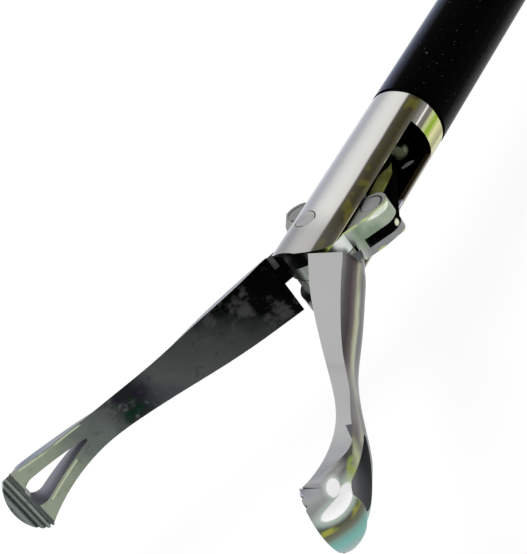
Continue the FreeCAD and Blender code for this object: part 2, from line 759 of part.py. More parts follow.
def fixed_handle():
    boss = turned([
        (SOCKET_BACK - BOSS_WALL, 0),
        (SOCKET_BACK - BOSS_WALL, BOSS_R),
        (SOCKET_FRONT - BOSS_TAPER, BOSS_R),
        (SOCKET_FRONT, SOCKET_R + BOSS_LIP),
        (SOCKET_FRONT, 0),
    ])
    loop = finger_loop(FINGER_RING, FINGER_RING_BORE_R, RING_BAND, FINGER_RING_STRAIGHT,
                       ARM_HALF, RING_EDGE)
    collar = bar_y(HF_COLLAR_R, 0, HF_COLLAR_TOP, HF_X)
    handle = boss.multiFuse([housing(), handle_arm(), loop, collar])
    handle = handle.cut(lever_cavity())
    handle = handle.cut(bar_x(SOCKET_R + FIT, SOCKET_BACK, SOCKET_FRONT))
    handle = handle.cut(bar_x(ROD_R + ROD_ROOM, SOCKET_BACK - ROD_ROOM_LENGTH, SOCKET_BACK))
    handle = handle.cut(bar_y(HF_ROOT_R + FIT, SOCKET_R, HF_COLLAR_TOP, HF_X))
    bolt_x = LEVER_PIVOT.x
    bolt_y = LEVER_PIVOT.y
    handle = handle.cut(bar_z(HANDLE_BOLT_R + FIT, -HOUSING_HALF, HOUSING_HALF, bolt_x, bolt_y))
    recess = HOUSING_HALF - HANDLE_BOLT_HEAD
    handle = handle.cut(bar_z(HANDLE_BOLT_HEAD_R + FIT, recess, HOUSING_HALF, bolt_x, bolt_y))
    handle = handle.cut(bar_z(HANDLE_BOLT_HEAD_R + FIT, -HOUSING_HALF, -recess, bolt_x, bolt_y))
    rack_way = sector(RACK_INNER_R - RACK_SLOT_PLAY, RACK_CREST_R + RACK_WAY_DEPTH, RACK_START_DEG,
                      RACK_END_DEG + STROKE_DEG + RACK_WAY_SPARE_DEG, RACK_HALF + RACK_SLOT_PLAY,
                      LEVER_PIVOT)
    handle = handle.cut(rack_way)
    handle = handle.cut(release_room())
    return handle.cut(bar_z(PAWL_PIN_R + FIT, -ARM_HALF, ARM_HALF, PAWL_PIVOT.x, PAWL_PIVOT.y))


def release_outline(extra):
    """The release lever's bars as (start, start radius, end, end radius), grown by extra."""
    bite = polar(PAWL_BITE_R + PAWL_END_INSET, PAWL_DEG, LEVER_PIVOT)
    trigger = PAWL_PIVOT + V(TRIGGER_X, TRIGGER_Y, 0)
    return (
        (PAWL_PIVOT, PAWL_BOSS_R + extra, bite, PAWL_END_R + extra),
        (PAWL_PIVOT, TRIGGER_ROOT_R + extra, trigger, TRIGGER_R + extra),
    )


def release_room():
    """Slot in the arm for the release lever, wide enough for its whole swing."""
    room = []
    half = RACK_HALF + RACK_SLOT_PLAY
    for index in range(RELEASE_ROOM_STEPS):
        turn = PAWL_SWING_DEG * index / (RELEASE_ROOM_STEPS - 1)
        for start, start_r, end, end_r in release_outline(RACK_SLOT_PLAY):
            bar = strap(start, start_r, end, end_r, -half, half)
            bar.rotate(PAWL_PIVOT, AXIS_Z, turn)
            room.append(bar)
    return room[0].multiFuse(room[1:])


def release_lever():
    """Pawl with its finger trigger, drawn engaged and then swung clear of the rack."""
    bars = [strap(a, ra, b, rb, -RACK_HALF, RACK_HALF) for a, ra, b, rb in release_outline(0.0)]
    tooth = slab(polygon([
        polar(PAWL_BITE_R, PAWL_DEG - PAWL_TIP_DEG, LEVER_PIVOT),
        polar(PAWL_BITE_R, PAWL_DEG + PAWL_TIP_DEG, LEVER_PIVOT),
        polar(PAWL_BITE_R + PAWL_TOOTH, PAWL_DEG + PAWL_ROOT_DEG, LEVER_PIVOT),
        polar(PAWL_BITE_R + PAWL_TOOTH, PAWL_DEG - PAWL_ROOT_DEG, LEVER_PIVOT),
    ]), RACK_HALF)
    lever = bars[0].multiFuse([bars[1], tooth])
    bore_r = PAWL_PIN_R + RUNNING_FIT
    lever = lever.cut(bar_z(bore_r, -RACK_HALF, RACK_HALF, PAWL_PIVOT.x, PAWL_PIVOT.y))
    lever.rotate(PAWL_PIVOT, AXIS_Z, PAWL_SWING_DEG)
    return lever


def release_pin():
    return bar_z(PAWL_PIN_R, -ARM_HALF + FIT, ARM_HALF - FIT, PAWL_PIVOT.x, PAWL_PIVOT.y)


def hf_pin():
    root = bar_y(HF_ROOT_R, SOCKET_R + FIT, HF_COLLAR_TOP, HF_X)
    pin = bar_y(HF_PIN_R, SOCKET_R + FIT, HF_PIN_TOP - HF_PIN_R, HF_X)
    tip = Part.makeSphere(HF_PIN_R, V(HF_X, HF_PIN_TOP - HF_PIN_R, 0))
    return root.multiFuse([pin, tip]).removeSplitter()


def pivot_screw():
    x = LEVER_PIVOT.x
    y = LEVER_PIVOT.y
    inner = HOUSING_HALF - HANDLE_BOLT_HEAD
    shank = bar_z(HANDLE_BOLT_R, -inner, inner, x, y)
    head = bar_z(HANDLE_BOLT_HEAD_R, inner, HOUSING_HALF, x, y)
    half = SCREW_SLOT / 2
    slot = block(x - HANDLE_BOLT_HEAD_R, x + HANDLE_BOLT_HEAD_R, y - half, y + half,
                 HOUSING_HALF - SCREW_SLOT_DEPTH, HOUSING_HALF)
    return shank.fuse(head).cut(slot)


def pivot_nut():
    x = LEVER_PIVOT.x
    y = LEVER_PIVOT.y
    inner = HOUSING_HALF - HANDLE_BOLT_HEAD
    nut = bar_z(HANDLE_BOLT_HEAD_R, -HOUSING_HALF, -inner, x, y)
    hole_end = NUT_HOLE_DEPTH - HOUSING_HALF
    for side in (-1, 1):
        nut = nut.cut(bar_z(NUT_HOLE_R, -HOUSING_HALF, hole_end, x + side * NUT_HOLE_X, y))
    return nut


def thumb_arm():
    """Bowed arm from the lever pivot to the thumb ring."""
    start = LEVER_PIVOT
    run = THUMB_RING - start
    across = V(-run.y, run.x, 0).normalize()
    stretch = 1 - THUMB_RING_BORE_R / run.Length
    widths = (THUMB_ARM_ROOT, THUMB_ARM_WAIST, THUMB_ARM_WAIST, THUMB_ARM_END)
    left = []
    right = []
    for index, width in enumerate(widths):
        share = stretch * index / (len(widths) - 1)
        bow = across * (THUMB_ARM_BOW * math.sin(math.pi * share))
        middle = start + run * share - bow
        left.append(middle + across * width)
        right.append(middle - across * width)
    right.reverse()
    edges = [curve(left), line(left[-1], right[0]), curve(right), line(right[-1], left[0])]
    return rounded(slab(edges, LEVER_HALF), THUMB_ARM_EDGE, LEVER_HALF)


def thumb_lever():
    head = strap(LEVER_PIVOT, LEVER_BOSS_R, BALL, HEAD_R, -LEVER_HALF, LEVER_HALF)
    loop = finger_loop(THUMB_RING, THUMB_RING_BORE_R, THUMB_RING_BAND, 0, ARM_HALF, RING_EDGE)
    lever = head.multiFuse([thumb_arm(), loop])
    up = (BALL - LEVER_PIVOT).normalize()
    pocket_r = BALL_R + BALL_PLAY
    pocket = Part.makeCylinder(pocket_r, 2 * HEAD_R, BALL - up * (BALL_R + POCKET_FLOOR), up)
    across = V(up.y, -up.x, 0)
    neck_half = ROD_R + ROD_SLOT_PLAY
    neck = Part.makeBox(2 * HEAD_R, 2 * HEAD_R + BALL_R, 2 * neck_half)
    neck.translate(V(0, -BALL_R - ROD_SLOT_DEPTH, -neck_half))
    neck.rotate(CENTRE, AXIS_Z, math.degrees(math.atan2(across.y, across.x)))
    neck.translate(BALL)
    lever = lever.cut(pocket).cut(neck)
    lever = lever.cut(bar_z(BUSH_R + FIT, -LEVER_HALF, LEVER_HALF, LEVER_PIVOT.x, LEVER_PIVOT.y))
    seat = sector(RACK_INNER_R - FIT, RACK_CREST_R + FIT, RACK_START_DEG, RACK_END_DEG,
                  RACK_HALF + FIT, LEVER_PIVOT)
    lever = lever.cut(seat)
    for place in rack_pin_places():
        lever = lever.cut(bar_z(RACK_PIN_R + FIT, -LEVER_HALF, LEVER_HALF, place.x, place.y))
    return lever


def pivot_bush():
    x = LEVER_PIVOT.x
    y = LEVER_PIVOT.y
    bush = bar_z(BUSH_R, -LEVER_HALF, LEVER_HALF, x, y)
    return bush.cut(bar_z(HANDLE_BOLT_R + RUNNING_FIT, -LEVER_HALF, LEVER_HALF, x, y))


def rack_pin_places():
    middle = (RACK_INNER_R + RACK_ROOT_R) / 2
    return [polar(middle, RACK_START_DEG + step, LEVER_PIVOT) for step in RACK_PIN_STEPS]


def ratchet_rack():
    rack_end = RACK_START_DEG + RACK_END_GAP_DEG
    rack = sector(RACK_INNER_R, RACK_CREST_R, rack_end, RACK_END_DEG, RACK_HALF, LEVER_PIVOT)
    mouth_r = RACK_CREST_R + RACK_GAP_OVERCUT
    for index in range(RACK_TEETH):
        step = index - (RACK_TEETH - 1) + RACK_TEETH_PAST_SHUT
        middle = PAWL_DEG - STROKE_DEG + RACK_TOOTH_DEG * step
        gap = slab(polygon([
            polar(RACK_ROOT_R, middle - RACK_GAP_ROOT_DEG, LEVER_PIVOT),
            polar(RACK_ROOT_R, middle + RACK_GAP_ROOT_DEG, LEVER_PIVOT),
            polar(mouth_r, middle + RACK_GAP_MOUTH_DEG, LEVER_PIVOT),
            polar(mouth_r, middle - RACK_GAP_MOUTH_DEG, LEVER_PIVOT),
        ]), RACK_HALF)
        rack = rack.cut(gap)
    for place in rack_pin_places():
        rack = rack.cut(bar_z(RACK_PIN_R + FIT, -RACK_HALF, RACK_HALF, place.x, place.y))
    return rack


def rack_pins():
    half = LEVER_HALF - FIT
    return Part.makeCompound([bar_z(RACK_PIN_R, -half, half, p.x, p.y) for p in rack_pin_places()])


def main():
    jaw = closed_jaw()
    pin = tail_pin()
    nodes = {
        "jaw_clevis": jaw_clevis(),
        "pivot_pin": pivot_pin(),
        "jaw_right": open_right(jaw),
        "jaw_left": open_left(jaw),
        "tail_pin_right": open_right(pin),
        "tail_pin_left": open_left(pin),
        "link_right": link(PIVOT + RIGHT_TAIL, HUB_GAP),
        "link_left": link(PIVOT + LEFT_TAIL, -HUB_GAP - LINK_THICKNESS),
        "rod_tang": rod_tang(),
        "tang_pin": tang_pin(),
        "push_rod": push_rod(),
        "rod_ball": rod_ball(),
        "rod_guides": rod_guides(),
        "rod_seal": rod_seal(),
        "outer_tube": outer_tube(),
        "insulation_sheath": insulation_sheath(),
        "rotation_knob": rotation_knob(),
        "knob_screw": knob_screw(),
        "port_stem": port_stem(),
        "flush_port": flush_port(),
        "shaft_hub": shaft_hub(),
        "front_socket": front_socket(),
        "socket_cap": socket_cap(),
        "fixed_handle": fixed_handle(),
        "hf_pin": hf_pin(),
        "pivot_screw": pivot_screw(),
        "pivot_nut": pivot_nut(),
        "release_lever": release_lever(),
        "release_pin": release_pin(),
        "thumb_lever": thumb_lever(),
        "pivot_bush": pivot_bush(),
        "ratchet_rack": ratchet_rack(),
        "rack_pins": rack_pins(),
    }
    os.makedirs("parts", exist_ok=True)
    for name, shape in nodes.items():
        if not shape.isValid():
            raise ValueError(name + " is not a valid solid")
        shape.exportStep("parts/" + name + ".step")
        print(name, len(shape.Solids), round(shape.Volume, 1))


main()
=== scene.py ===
"""Laparoscopic grasper: finishes, small details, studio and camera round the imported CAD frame."""

import math

import bpy
from mathutils import Matrix, Vector


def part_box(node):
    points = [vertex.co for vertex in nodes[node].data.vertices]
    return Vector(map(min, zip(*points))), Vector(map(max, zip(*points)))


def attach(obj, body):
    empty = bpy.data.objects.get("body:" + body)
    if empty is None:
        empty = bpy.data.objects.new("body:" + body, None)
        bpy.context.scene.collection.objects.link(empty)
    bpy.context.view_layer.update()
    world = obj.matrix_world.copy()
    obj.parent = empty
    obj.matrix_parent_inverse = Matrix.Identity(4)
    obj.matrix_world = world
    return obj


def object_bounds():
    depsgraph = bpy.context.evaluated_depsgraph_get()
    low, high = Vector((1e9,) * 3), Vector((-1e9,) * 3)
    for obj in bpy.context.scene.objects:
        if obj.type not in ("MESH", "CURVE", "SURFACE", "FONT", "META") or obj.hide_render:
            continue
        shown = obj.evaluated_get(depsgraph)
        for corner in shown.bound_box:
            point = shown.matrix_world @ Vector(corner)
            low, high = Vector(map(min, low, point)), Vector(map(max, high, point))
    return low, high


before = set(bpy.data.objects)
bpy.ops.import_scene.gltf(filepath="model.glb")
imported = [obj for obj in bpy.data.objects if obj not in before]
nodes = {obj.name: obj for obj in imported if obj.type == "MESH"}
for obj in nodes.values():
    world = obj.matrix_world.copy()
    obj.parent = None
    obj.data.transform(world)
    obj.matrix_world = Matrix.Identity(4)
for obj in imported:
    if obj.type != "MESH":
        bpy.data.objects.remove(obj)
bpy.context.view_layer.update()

MM = 0.001

# Places on the frame, in millimetres
PIVOT_X = sum(corner.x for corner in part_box("pivot_pin")) / 2 / MM
SLOT_HALF = 2.55
SLOT_START = 4.2
CLEVIS_BORE_RADIUS = 2.8
CLEVIS_RIM_RADIUS = 4.3
CLEVIS_PALE_PATCH = (5.9, 1.43)
TARNISH_RADIUS = 1.4
TAIL_PIN_LEFT = (18.886, 5.815)
HOUSING_FACE = 7.5
HOUSING_SCREWS = ((-392.5, 5.0), (-374.5, 5.0), (-374.5, -17.0))
KNOB_COLLAR_X = -337.2
PORT_X = sum(corner.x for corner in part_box("flush_port")) / 2 / MM
PORT_THREAD_FOOT = 17.2
FINGER_RING = (-363.0, -85.84)
THUMB_RING = (-433.1, -66.14)
RING_BORE = 26.0
FINGER_RING_STRAIGHT = 20.0

# Places on a jaw, in millimetres from its pivot
TAIL_PIN_BACK = 6.768
TAIL_PIN_SIDE = 2.735
TAIL_PIN_RADIUS = 1.48
FORK_END = 2.5
WINDOW_START = 35.0
WINDOW_END = 44.7
WINDOW_HALF = 1.97
PAD_FACE = 43.9
PAD_RIDGES = 43.95
PAD_LENGTH = 2.9
BLADE_LENGTH = 46.7

# Angles from the shaft in the drawn pose
RIGHT_OPEN = math.radians(29.7)
LEFT_OPEN = math.radians(30.8)
LINK_LEAN = math.radians(30.375)

# Camera, as solved from the photograph
PHOTO_WIDTH = 527
PHOTO_HEIGHT = 554
FOCAL_PIXELS = 1511.7
SENSOR_MM = 36.0
CAMERA_PLACE = (123.980 * MM, 116.493 * MM, 84.462 * MM)
CAMERA_RIGHT = (-0.455637, 0.715172, -0.530023)
CAMERA_UP = (-0.706098, 0.072201, 0.704423)
CLIP_NEAR = 0.005
CLIP_FAR = 50.0

# Studio
FLOOR_GAP = 0.3 * MM
FLOOR_SIDE = 6.0
FLOOR_PALE = 0.86
FLOOR_GLOW = 0.92
SKY_COLOUR = (0.9, 0.95, 1.0, 1.0)
SKY_STRENGTH = 0.55
KEY_PLACE = (0.1, -0.5, 0.7)
KEY_SIDE = 0.5
KEY_POWER = 9.0


def set_stops(ramp, stops):
    """Sets the colours of a ramp, each stop a place from 0 to 1 and a colour."""
    while len(ramp.elements) < len(stops):
        ramp.elements.new(0.5)
    for element, (place, colour) in zip(ramp.elements, stops):
        element.position = place
        element.color = (*colour, 1.0)


def feed(tree, socket, value):
    """Links a socket to a wire or to another socket, or sets a plain value on it."""
    if isinstance(value, Wire):
        value = value.socket
    if isinstance(value, bpy.types.NodeSocket):
        tree.links.new(value, socket)
    else:
        socket.default_value = value


def added_node(tree, kind, settings, *values, **named):
    """Adds a node, sets its settings, then feeds its sockets in order or by name, _ for a space."""
    made = tree.nodes.new(kind)
    for key, value in settings.items():
        if key == "stops":
            set_stops(made.color_ramp, value)
        else:
            setattr(made, key, value)
    for socket, value in zip(made.inputs, values):
        feed(tree, socket, value)
    for key, value in named.items():
        feed(tree, made.inputs[key.replace("_", " ")], value)
    return made


class Wire:
    """A shader socket that can be used in sums and products."""

    def __init__(self, shader, socket):
        self.shader = shader
        self.socket = socket

    def maths(self, operation, *others):
        return self.shader.node("ShaderNodeMath", {"operation": operation}, self, *others)

    def __add__(self, other):
        return self.maths("ADD", other)

    __radd__ = __add__

    def __mul__(self, other):
        return self.maths("MULTIPLY", other)

    __rmul__ = __mul__

    def __sub__(self, other):
        return self.maths("SUBTRACT", other)

    def __rsub__(self, other):
        """Takes this socket from a plain number."""
        return self.shader.node("ShaderNodeMath", {"operation": "SUBTRACT"}, other, self)

    def __truediv__(self, other):
        return self.maths("DIVIDE", other)

    def __pow__(self, other):
        return self.maths("POWER", other)

    def __abs__(self):
        return self.maths("ABSOLUTE")

    def __gt__(self, other):
        return self.maths("GREATER_THAN", other)

    def __lt__(self, other):
        return self.maths("LESS_THAN", other)

    def smooth(self, low, high):
        """Rises from 0 to 1 between low and high, or falls where low is above high."""
        settings = {"interpolation_type": "SMOOTHSTEP"}
        if low < high:
            return self.shader.node("ShaderNodeMapRange", settings, self, low, high, 0.0, 1.0)
        return self.shader.node("ShaderNodeMapRange", settings, self, high, low, 1.0, 0.0)

    def hill(self, foot, top, edge, end):
        """Rises from 0 at foot to 1 at top, and falls from edge to 0 at end."""
        return self.smooth(foot, top) * self.smooth(end, edge)


class Shader:
    """A material's node tree, round one principled surface."""

    def __init__(self, name):
        self.material = bpy.data.materials.new(name)
        self.material.use_nodes = True
        self.tree = self.material.node_tree
        self.tree.nodes.clear()
        self.surface = added_node(self.tree, "ShaderNodeBsdfPrincipled", {})
        added_node(self.tree, "ShaderNodeOutputMaterial", {}, Surface=self.surface.outputs[0])

    def node(self, kind, settings, *values, out=0, **named):
        """One output of a new node."""
        return Wire(self, added_node(self.tree, kind, settings, *values, **named).outputs[out])

    def object_place(self):
        """Place of the point on the frame at rest, in metres."""
        return self.node("ShaderNodeTexCoord", {}, out="Object")

    def facing(self):
        """The surface's own normal, which turns with its body."""
        return self.node("ShaderNodeTexCoord", {}, out="Normal")

    def split(self, vector):
        made = added_node(self.tree, "ShaderNodeSeparateXYZ", {}, vector)
        return [Wire(self, part) for part in made.outputs]

    def millimetres(self, vector):
        return [part / MM for part in self.split(vector)]

    def stretched(self, vector, scale):
        """Place scaled by axis, for noise that is longer one way."""
        return self.node("ShaderNodeMapping", {}, Vector=vector, Scale=scale)

    def noise(self, vector, scale, detail=3.0, rough=0.5):
        return self.node("ShaderNodeTexNoise", {}, Vector=vector, Scale=scale, Detail=detail,
                         Roughness=rough)

    def mix(self, share, first, second):
        """Colour between first, where share is 0, and second, where it is 1."""
        made = added_node(self.tree, "ShaderNodeMix", {"data_type": "RGBA"}, share)
        for socket, colour in ((made.inputs[6], first), (made.inputs[7], second)):
            feed(self.tree, socket, colour if isinstance(colour, Wire) else (*colour, 1.0))
        return Wire(self, made.outputs[2])

    def greater(self, first, second):
        return self.node("ShaderNodeMath", {"operation": "MAXIMUM"}, first, second)

    def bump(self, height, strength, distance):
        return self.node("ShaderNodeBump", {}, Height=height, Strength=strength, Distance=distance)

    def set(self, **values):
        """Values of the surface's own sockets, named with _ for a space."""
        for key, value in values.items():
            feed(self.tree, self.surface.inputs[key.replace("_", " ")], value)


def use(material, *names):
    """Gives CAD nodes a material."""
    for name in names:
        slots = nodes[name].data.materials
        slots.clear()
        slots.append(material)


# Finishes
#
# The studio is white all round, so the bands of light and shade on the metal come from its own
# tones: by the way the surface faces, and by place where the photograph shows a stain or a glare.

BLACK = (0.0006, 0.0006, 0.0007)


def tone(red, green, blue):
    """Linear colour from the 0 to 255 values that a screen shows."""
    parts = []
    for value in (red, green, blue):
        share = value / 255.0
        parts.append(share / 12.92 if share < 0.04045 else ((share + 0.055) / 1.055) ** 2.4)
    return tuple(parts)


def turn_bands(s, degrees, stops):
    """Colours set round an axis, by the way the surface faces, from -180 to 180 degrees."""
    places = [((angle + 180.0) / 360.0, colour) for angle, colour in stops]
    return s.node("ShaderNodeValToRGB", {"stops": places}, (degrees + 180.0) / 360.0)


def length_bands(s, share, stops):
    """Colours set along a length, by the share of it from 0 to 1."""
    return s.node("ShaderNodeValToRGB", {"stops": stops}, share)


def facing_angle(s, upward, outward):
    """Way that a surface faces, in degrees: 0 is outward and 90 is upward."""
    return s.node("ShaderNodeMath", {"operation": "ARCTAN2"}, upward, outward) * (180.0 / math.pi)


def spot(point, centre, reach):
    """1 inside an ellipsoid of the given centre and reaches, fading to 0 just outside it."""
    total = 0.0
    for place, middle, half in zip(point, centre, reach):
        total = ((place - middle) / half) ** 2.0 + total
    return total.smooth(1.5, 0.5)


def insulation():
    """Black heat-shrunk sleeve: satin, with a fine orange peel, a few pale specks and painted reflection
    bands by the way it faces.
    """
    s = Shader("insulation")
    place = s.object_place()
    x = s.millimetres(place)[0]
    ny, nz = s.split(s.facing())[1:]
    # Painted reflection: bands of tone by the way the sleeve faces, faded to black further back along
    # the shaft.
    painted_sheen = turn_bands(s, facing_angle(s, nz, ny), [
        (-180, BLACK), (-150, tone(26, 28, 34)), (-120, BLACK), (-62, tone(30, 30, 30)),
        (-30, tone(58, 58, 57)), (-11, BLACK), (82, BLACK), (94, tone(44, 47, 58)),
        (106, tone(74, 79, 94)), (122, tone(112, 118, 134)), (150, tone(30, 31, 36)), (180, BLACK)])
    beyond_photo = x.smooth(-60.0, -100.0)
    painted_sheen = s.mix(beyond_photo * 0.75, painted_sheen, BLACK)
    peel = s.noise(place, 900.0, 2.0)
    dust = s.noise(place, 2600.0, 1.0).smooth(0.735, 0.775)
    s.set(Base_Color=s.mix(dust * 0.4, painted_sheen, (0.2, 0.21, 0.23)),
          Specular_IOR_Level=0.008,
          Roughness=0.16 + 0.1 * s.noise(place, 120.0, 2.0),
          Normal=s.bump(peel, 0.1, 0.2 * MM))
    return s.material


def polish(s, place, roughness, grain, scratch, colour, metal=1.0, edge_shine=0.05):
    """Metal surface of the given colour, brushed along X, with hairline scratches."""
    brushed = s.noise(s.stretched(place, (60.0, 1400.0, 1400.0)), 1.0, 3.0, 0.6)
    hair = s.noise(s.stretched(place, (300.0, 5200.0, 5200.0)), 1.0, 2.0)
    hairline = hair.smooth(0.66, 0.7)
    s.set(Base_Color=colour,
          Metallic=metal,
          Specular_IOR_Level=edge_shine,
          Roughness=roughness + grain * (brushed - 0.5) + scratch * hairline,
          Normal=s.bump(brushed + 0.5 * hairline, 0.05, 0.05 * MM))
    return s.material


def steel(name, dark, light, roughness, grain, scratch):
    """Stainless steel with soft clouding."""
    s = Shader(name)
    place = s.object_place()
    cloud = s.noise(place, 160.0, 3.0).smooth(0.3, 0.7)
    return polish(s, place, roughness, grain, scratch, s.mix(cloud, dark, light))


# Clevis

def clevis_bands(s, place, around):
    """Long bands of painted reflection round the clevis by the way it faces, with yellow painted
    reflection patches and one thin painted glint line.
    """
    bands = turn_bands(s, around, [
        (-180, tone(170, 172, 180)), (-150, tone(96, 94, 90)), (-120, tone(205, 205, 200)),
        (-80, tone(150, 146, 120)), (-52, tone(124, 115, 62)), (-40, tone(166, 158, 106)),
        (-31, tone(214, 212, 152)), (-24, tone(157, 154, 112)), (-16, tone(190, 190, 138)),
        (-8, tone(226, 224, 166)), (-2, tone(138, 168, 40)), (3, tone(138, 168, 40)),
        (9, tone(196, 204, 150)), (14, tone(106, 103, 94)), (24, tone(152, 150, 144)),
        (32, tone(102, 100, 88)), (39, tone(66, 60, 40)), (48, tone(76, 73, 58)),
        (52, tone(90, 86, 78)), (55, tone(232, 231, 227)), (64, tone(242, 241, 236)),
        (74, tone(237, 237, 234)), (82, tone(220, 220, 220)), (90, tone(189, 190, 194)),
        (98, tone(176, 179, 188)), (106, tone(174, 179, 192)), (122, tone(140, 145, 158)),
        (150, tone(222, 222, 220))])
    # Painted reflection: yellow patches in one band of facing angles.
    yellow_reflection = around.hill(31.0, 36.0, 48.0, 52.0) * s.noise(place, 380.0, 2.0).smooth(0.5, 0.62)
    bands = s.mix(yellow_reflection * 0.6, bands, tone(112, 110, 44))
    # Painted glint: a thin bright line at one facing angle.
    painted_glint = abs(around - 21.0) < 1.5
    return s.mix(painted_glint, bands, tone(244, 244, 238))


def clevis_steel():
    """Bright turned steel with painted reflection bands; the slot, the bore and the front edge painted
    dark as shade, painted highlights on the near lip and beside the far slot face, and a pale oval patch
    in the slot.
    """
    s = Shader("clevis_steel")
    place = s.object_place()
    x, y, z = s.millimetres(place)
    nx, ny, nz = s.split(s.facing())
    depth = abs(z)
    radius = (y * y + z * z) ** 0.5

    sway = s.noise(s.stretched(place, (90.0, 20.0, 20.0)), 1.0, 2.0) - 0.5
    bands = clevis_bands(s, place, facing_angle(s, nz, ny) + 5.0 * sway)
    nose = x.smooth(21.0, 25.5)
    colour = s.mix(nose * 0.4, bands, tone(104, 102, 98))
    from_pin = ((x - PIVOT_X) ** 2.0 + y * y) ** 0.5
    tarnish = (from_pin < TARNISH_RADIUS) * s.noise(place, 500.0, 2.0).smooth(0.42, 0.5)
    colour = s.mix(tarnish, colour, tone(96, 74, 70))

    # Painted shade: the slot faces, the bore and the front edge are made near black, with paler
    # blotches.
    slot = (depth < SLOT_HALF + 0.03) * (abs(nz) > 0.9)
    bore = radius < CLEVIS_BORE_RADIUS
    front = nx > 0.6
    dark = s.greater(s.greater(slot, bore), front)
    painted_shade = s.mix(s.noise(place, 420.0, 3.0).smooth(0.5, 0.72), tone(4, 4, 4), tone(58, 60, 56))
    # A pale oval patch on the far slot face, not metal.
    oval_x = x - CLEVIS_PALE_PATCH[0]
    oval_y = y - CLEVIS_PALE_PATCH[1]
    pale_oval = ((oval_y - oval_x) / 1.3) ** 2.0 + ((oval_y + oval_x) / 0.6) ** 2.0
    pale_patch = (pale_oval < 1.0) * (nz > 0.9) * (z < 0.0)
    painted_shade = s.mix(pale_patch, painted_shade, tone(214, 218, 214))
    colour = s.mix(dark, colour, painted_shade)

    rim = (radius > CLEVIS_RIM_RADIUS) * (x > SLOT_START)
    # Painted highlight: a thin cream line along the near lip of the slot.
    near_lip_highlight = (abs(depth - (SLOT_HALF + 0.06)) < 0.04) * rim * (y > 0.0) * (z > 0.0)
    near_lip_highlight = near_lip_highlight * s.noise(place, 300.0, 2.0).smooth(0.42, 0.58)
    colour = s.mix(near_lip_highlight * 0.7, colour, tone(206, 205, 160))
    far_lip = (depth < SLOT_HALF + 0.6) * rim * (z < 0.0)
    colour = s.mix(far_lip, colour, tone(70, 56, 38))
    # Painted highlight: a pale lilac spot beside the far slot face.
    corner = spot((x, y, z), (13.3, 4.0, -2.7), (0.7, 0.5, 0.3))
    colour = s.mix(corner, colour, tone(226, 226, 240))
    return polish(s, place, 0.16, 0.06, 0.1, colour, metal=1.0 - s.greater(pale_patch, far_lip))


# Jaws

class JawPlace:
    """Where a point of a jaw lies and which way it faces, measured on the jaw.

    along runs from the pivot to the tip, rise away from the other jaw, and reach across the
    thickness, all in millimetres. forward, outward and flat say how far the surface faces the
    tip, away from the other jaw, and along the pivot. around is the facing angle about the
    jaw's own length, and patch is slow noise.
    """

    def __init__(self, s, side, rest):
        self.side = side
        self.place = s.object_place()
        x, y, z = s.millimetres(self.place)
        nx, ny, nz = s.split(s.facing())
        cosine = math.cos(rest)
        sine = side * math.sin(rest)
        self.along = (x - PIVOT_X) * cosine + y * sine
        self.rise = (y * cosine - (x - PIVOT_X) * sine) * side
        self.reach = z * side
        self.forward = nx * cosine + ny * sine
        self.outward = side * (ny * cosine - nx * sine)
        self.flat = abs(nz)
        sway = s.noise(s.stretched(self.place, (140.0, 140.0, 60.0)), 1.0, 2.0) - 0.5
        self.around = facing_angle(s, nz, self.outward) + 9.0 * sway
        self.patch = s.noise(self.place, 330.0, 2.0)

    def spot(self, centre, reach):
        return spot((self.along, self.rise, self.reach), centre, reach)


def shank_tones(s, jaw):
    """Painted reflection bands round the back and flanks of the blade, by the way they face; the left
    jaw's flanks are painted in shade.
    """
    flank = tone(193, 194, 193) if jaw.side > 0 else tone(98, 102, 112)
    turned_away = tone(112, 112, 116) if jaw.side > 0 else flank
    shank = turn_bands(s, jaw.around, [
        (-180, tone(70, 72, 72)), (-95, tone(118, 118, 122)), (-70, flank), (-50, flank),
        (-42, tone(84, 82, 82)), (-32, tone(88, 86, 94)), (-22, tone(54, 53, 60)),
        (-12, tone(60, 60, 66)), (-4, tone(96, 99, 98)), (3, tone(186, 190, 160)),
        (8, tone(164, 162, 138)), (14, tone(96, 88, 84)), (24, tone(66, 54, 59)),
        (34, tone(88, 85, 86)), (42, tone(138, 136, 135)), (49, tone(150, 149, 148)),
        (54, flank), (72, flank), (84, turned_away), (130, tone(70, 72, 72))])
    waist = jaw.along.hill(23.0, 28.0, 33.0, 37.0) * jaw.around.smooth(46.0, 36.0)
    shank = s.mix(waist * 0.65, shank, tone(128, 127, 127))
    broad_flank = jaw.along.hill(23.0, 27.0, 34.0, 38.0) * jaw.around.hill(31.0, 37.0, 56.0, 60.0)
    return s.mix(broad_flank, shank, flank)


def beak_tones(s, jaw):
    """Painted reflection bands across the blunt end over the pad, with olive painted reflection patches
    near the middle.
    """
    beak = length_bands(s, (jaw.reach + 0.7 * (jaw.patch - 0.5)) / 9.0 + 0.5, [
        (0.02, tone(118, 124, 124)), (0.14, tone(150, 170, 168)), (0.3, tone(118, 176, 168)),
        (0.4, tone(120, 152, 142)), (0.45, tone(112, 116, 100)), (0.52, tone(94, 96, 78)),
        (0.58, tone(70, 74, 70)), (0.64, tone(96, 106, 100)), (0.72, tone(140, 150, 142)),
        (0.82, tone(150, 152, 150)), (0.9, tone(172, 173, 174)), (0.98, tone(150, 150, 168))])
    # Painted reflection: olive patches near the middle of the blunt end.
    olive = s.noise(jaw.place, 700.0, 1.0).smooth(0.35, 0.65) * abs(jaw.reach - 0.4).smooth(0.45, 0.15)
    return s.mix(olive * 0.75, beak, tone(166, 170, 70))


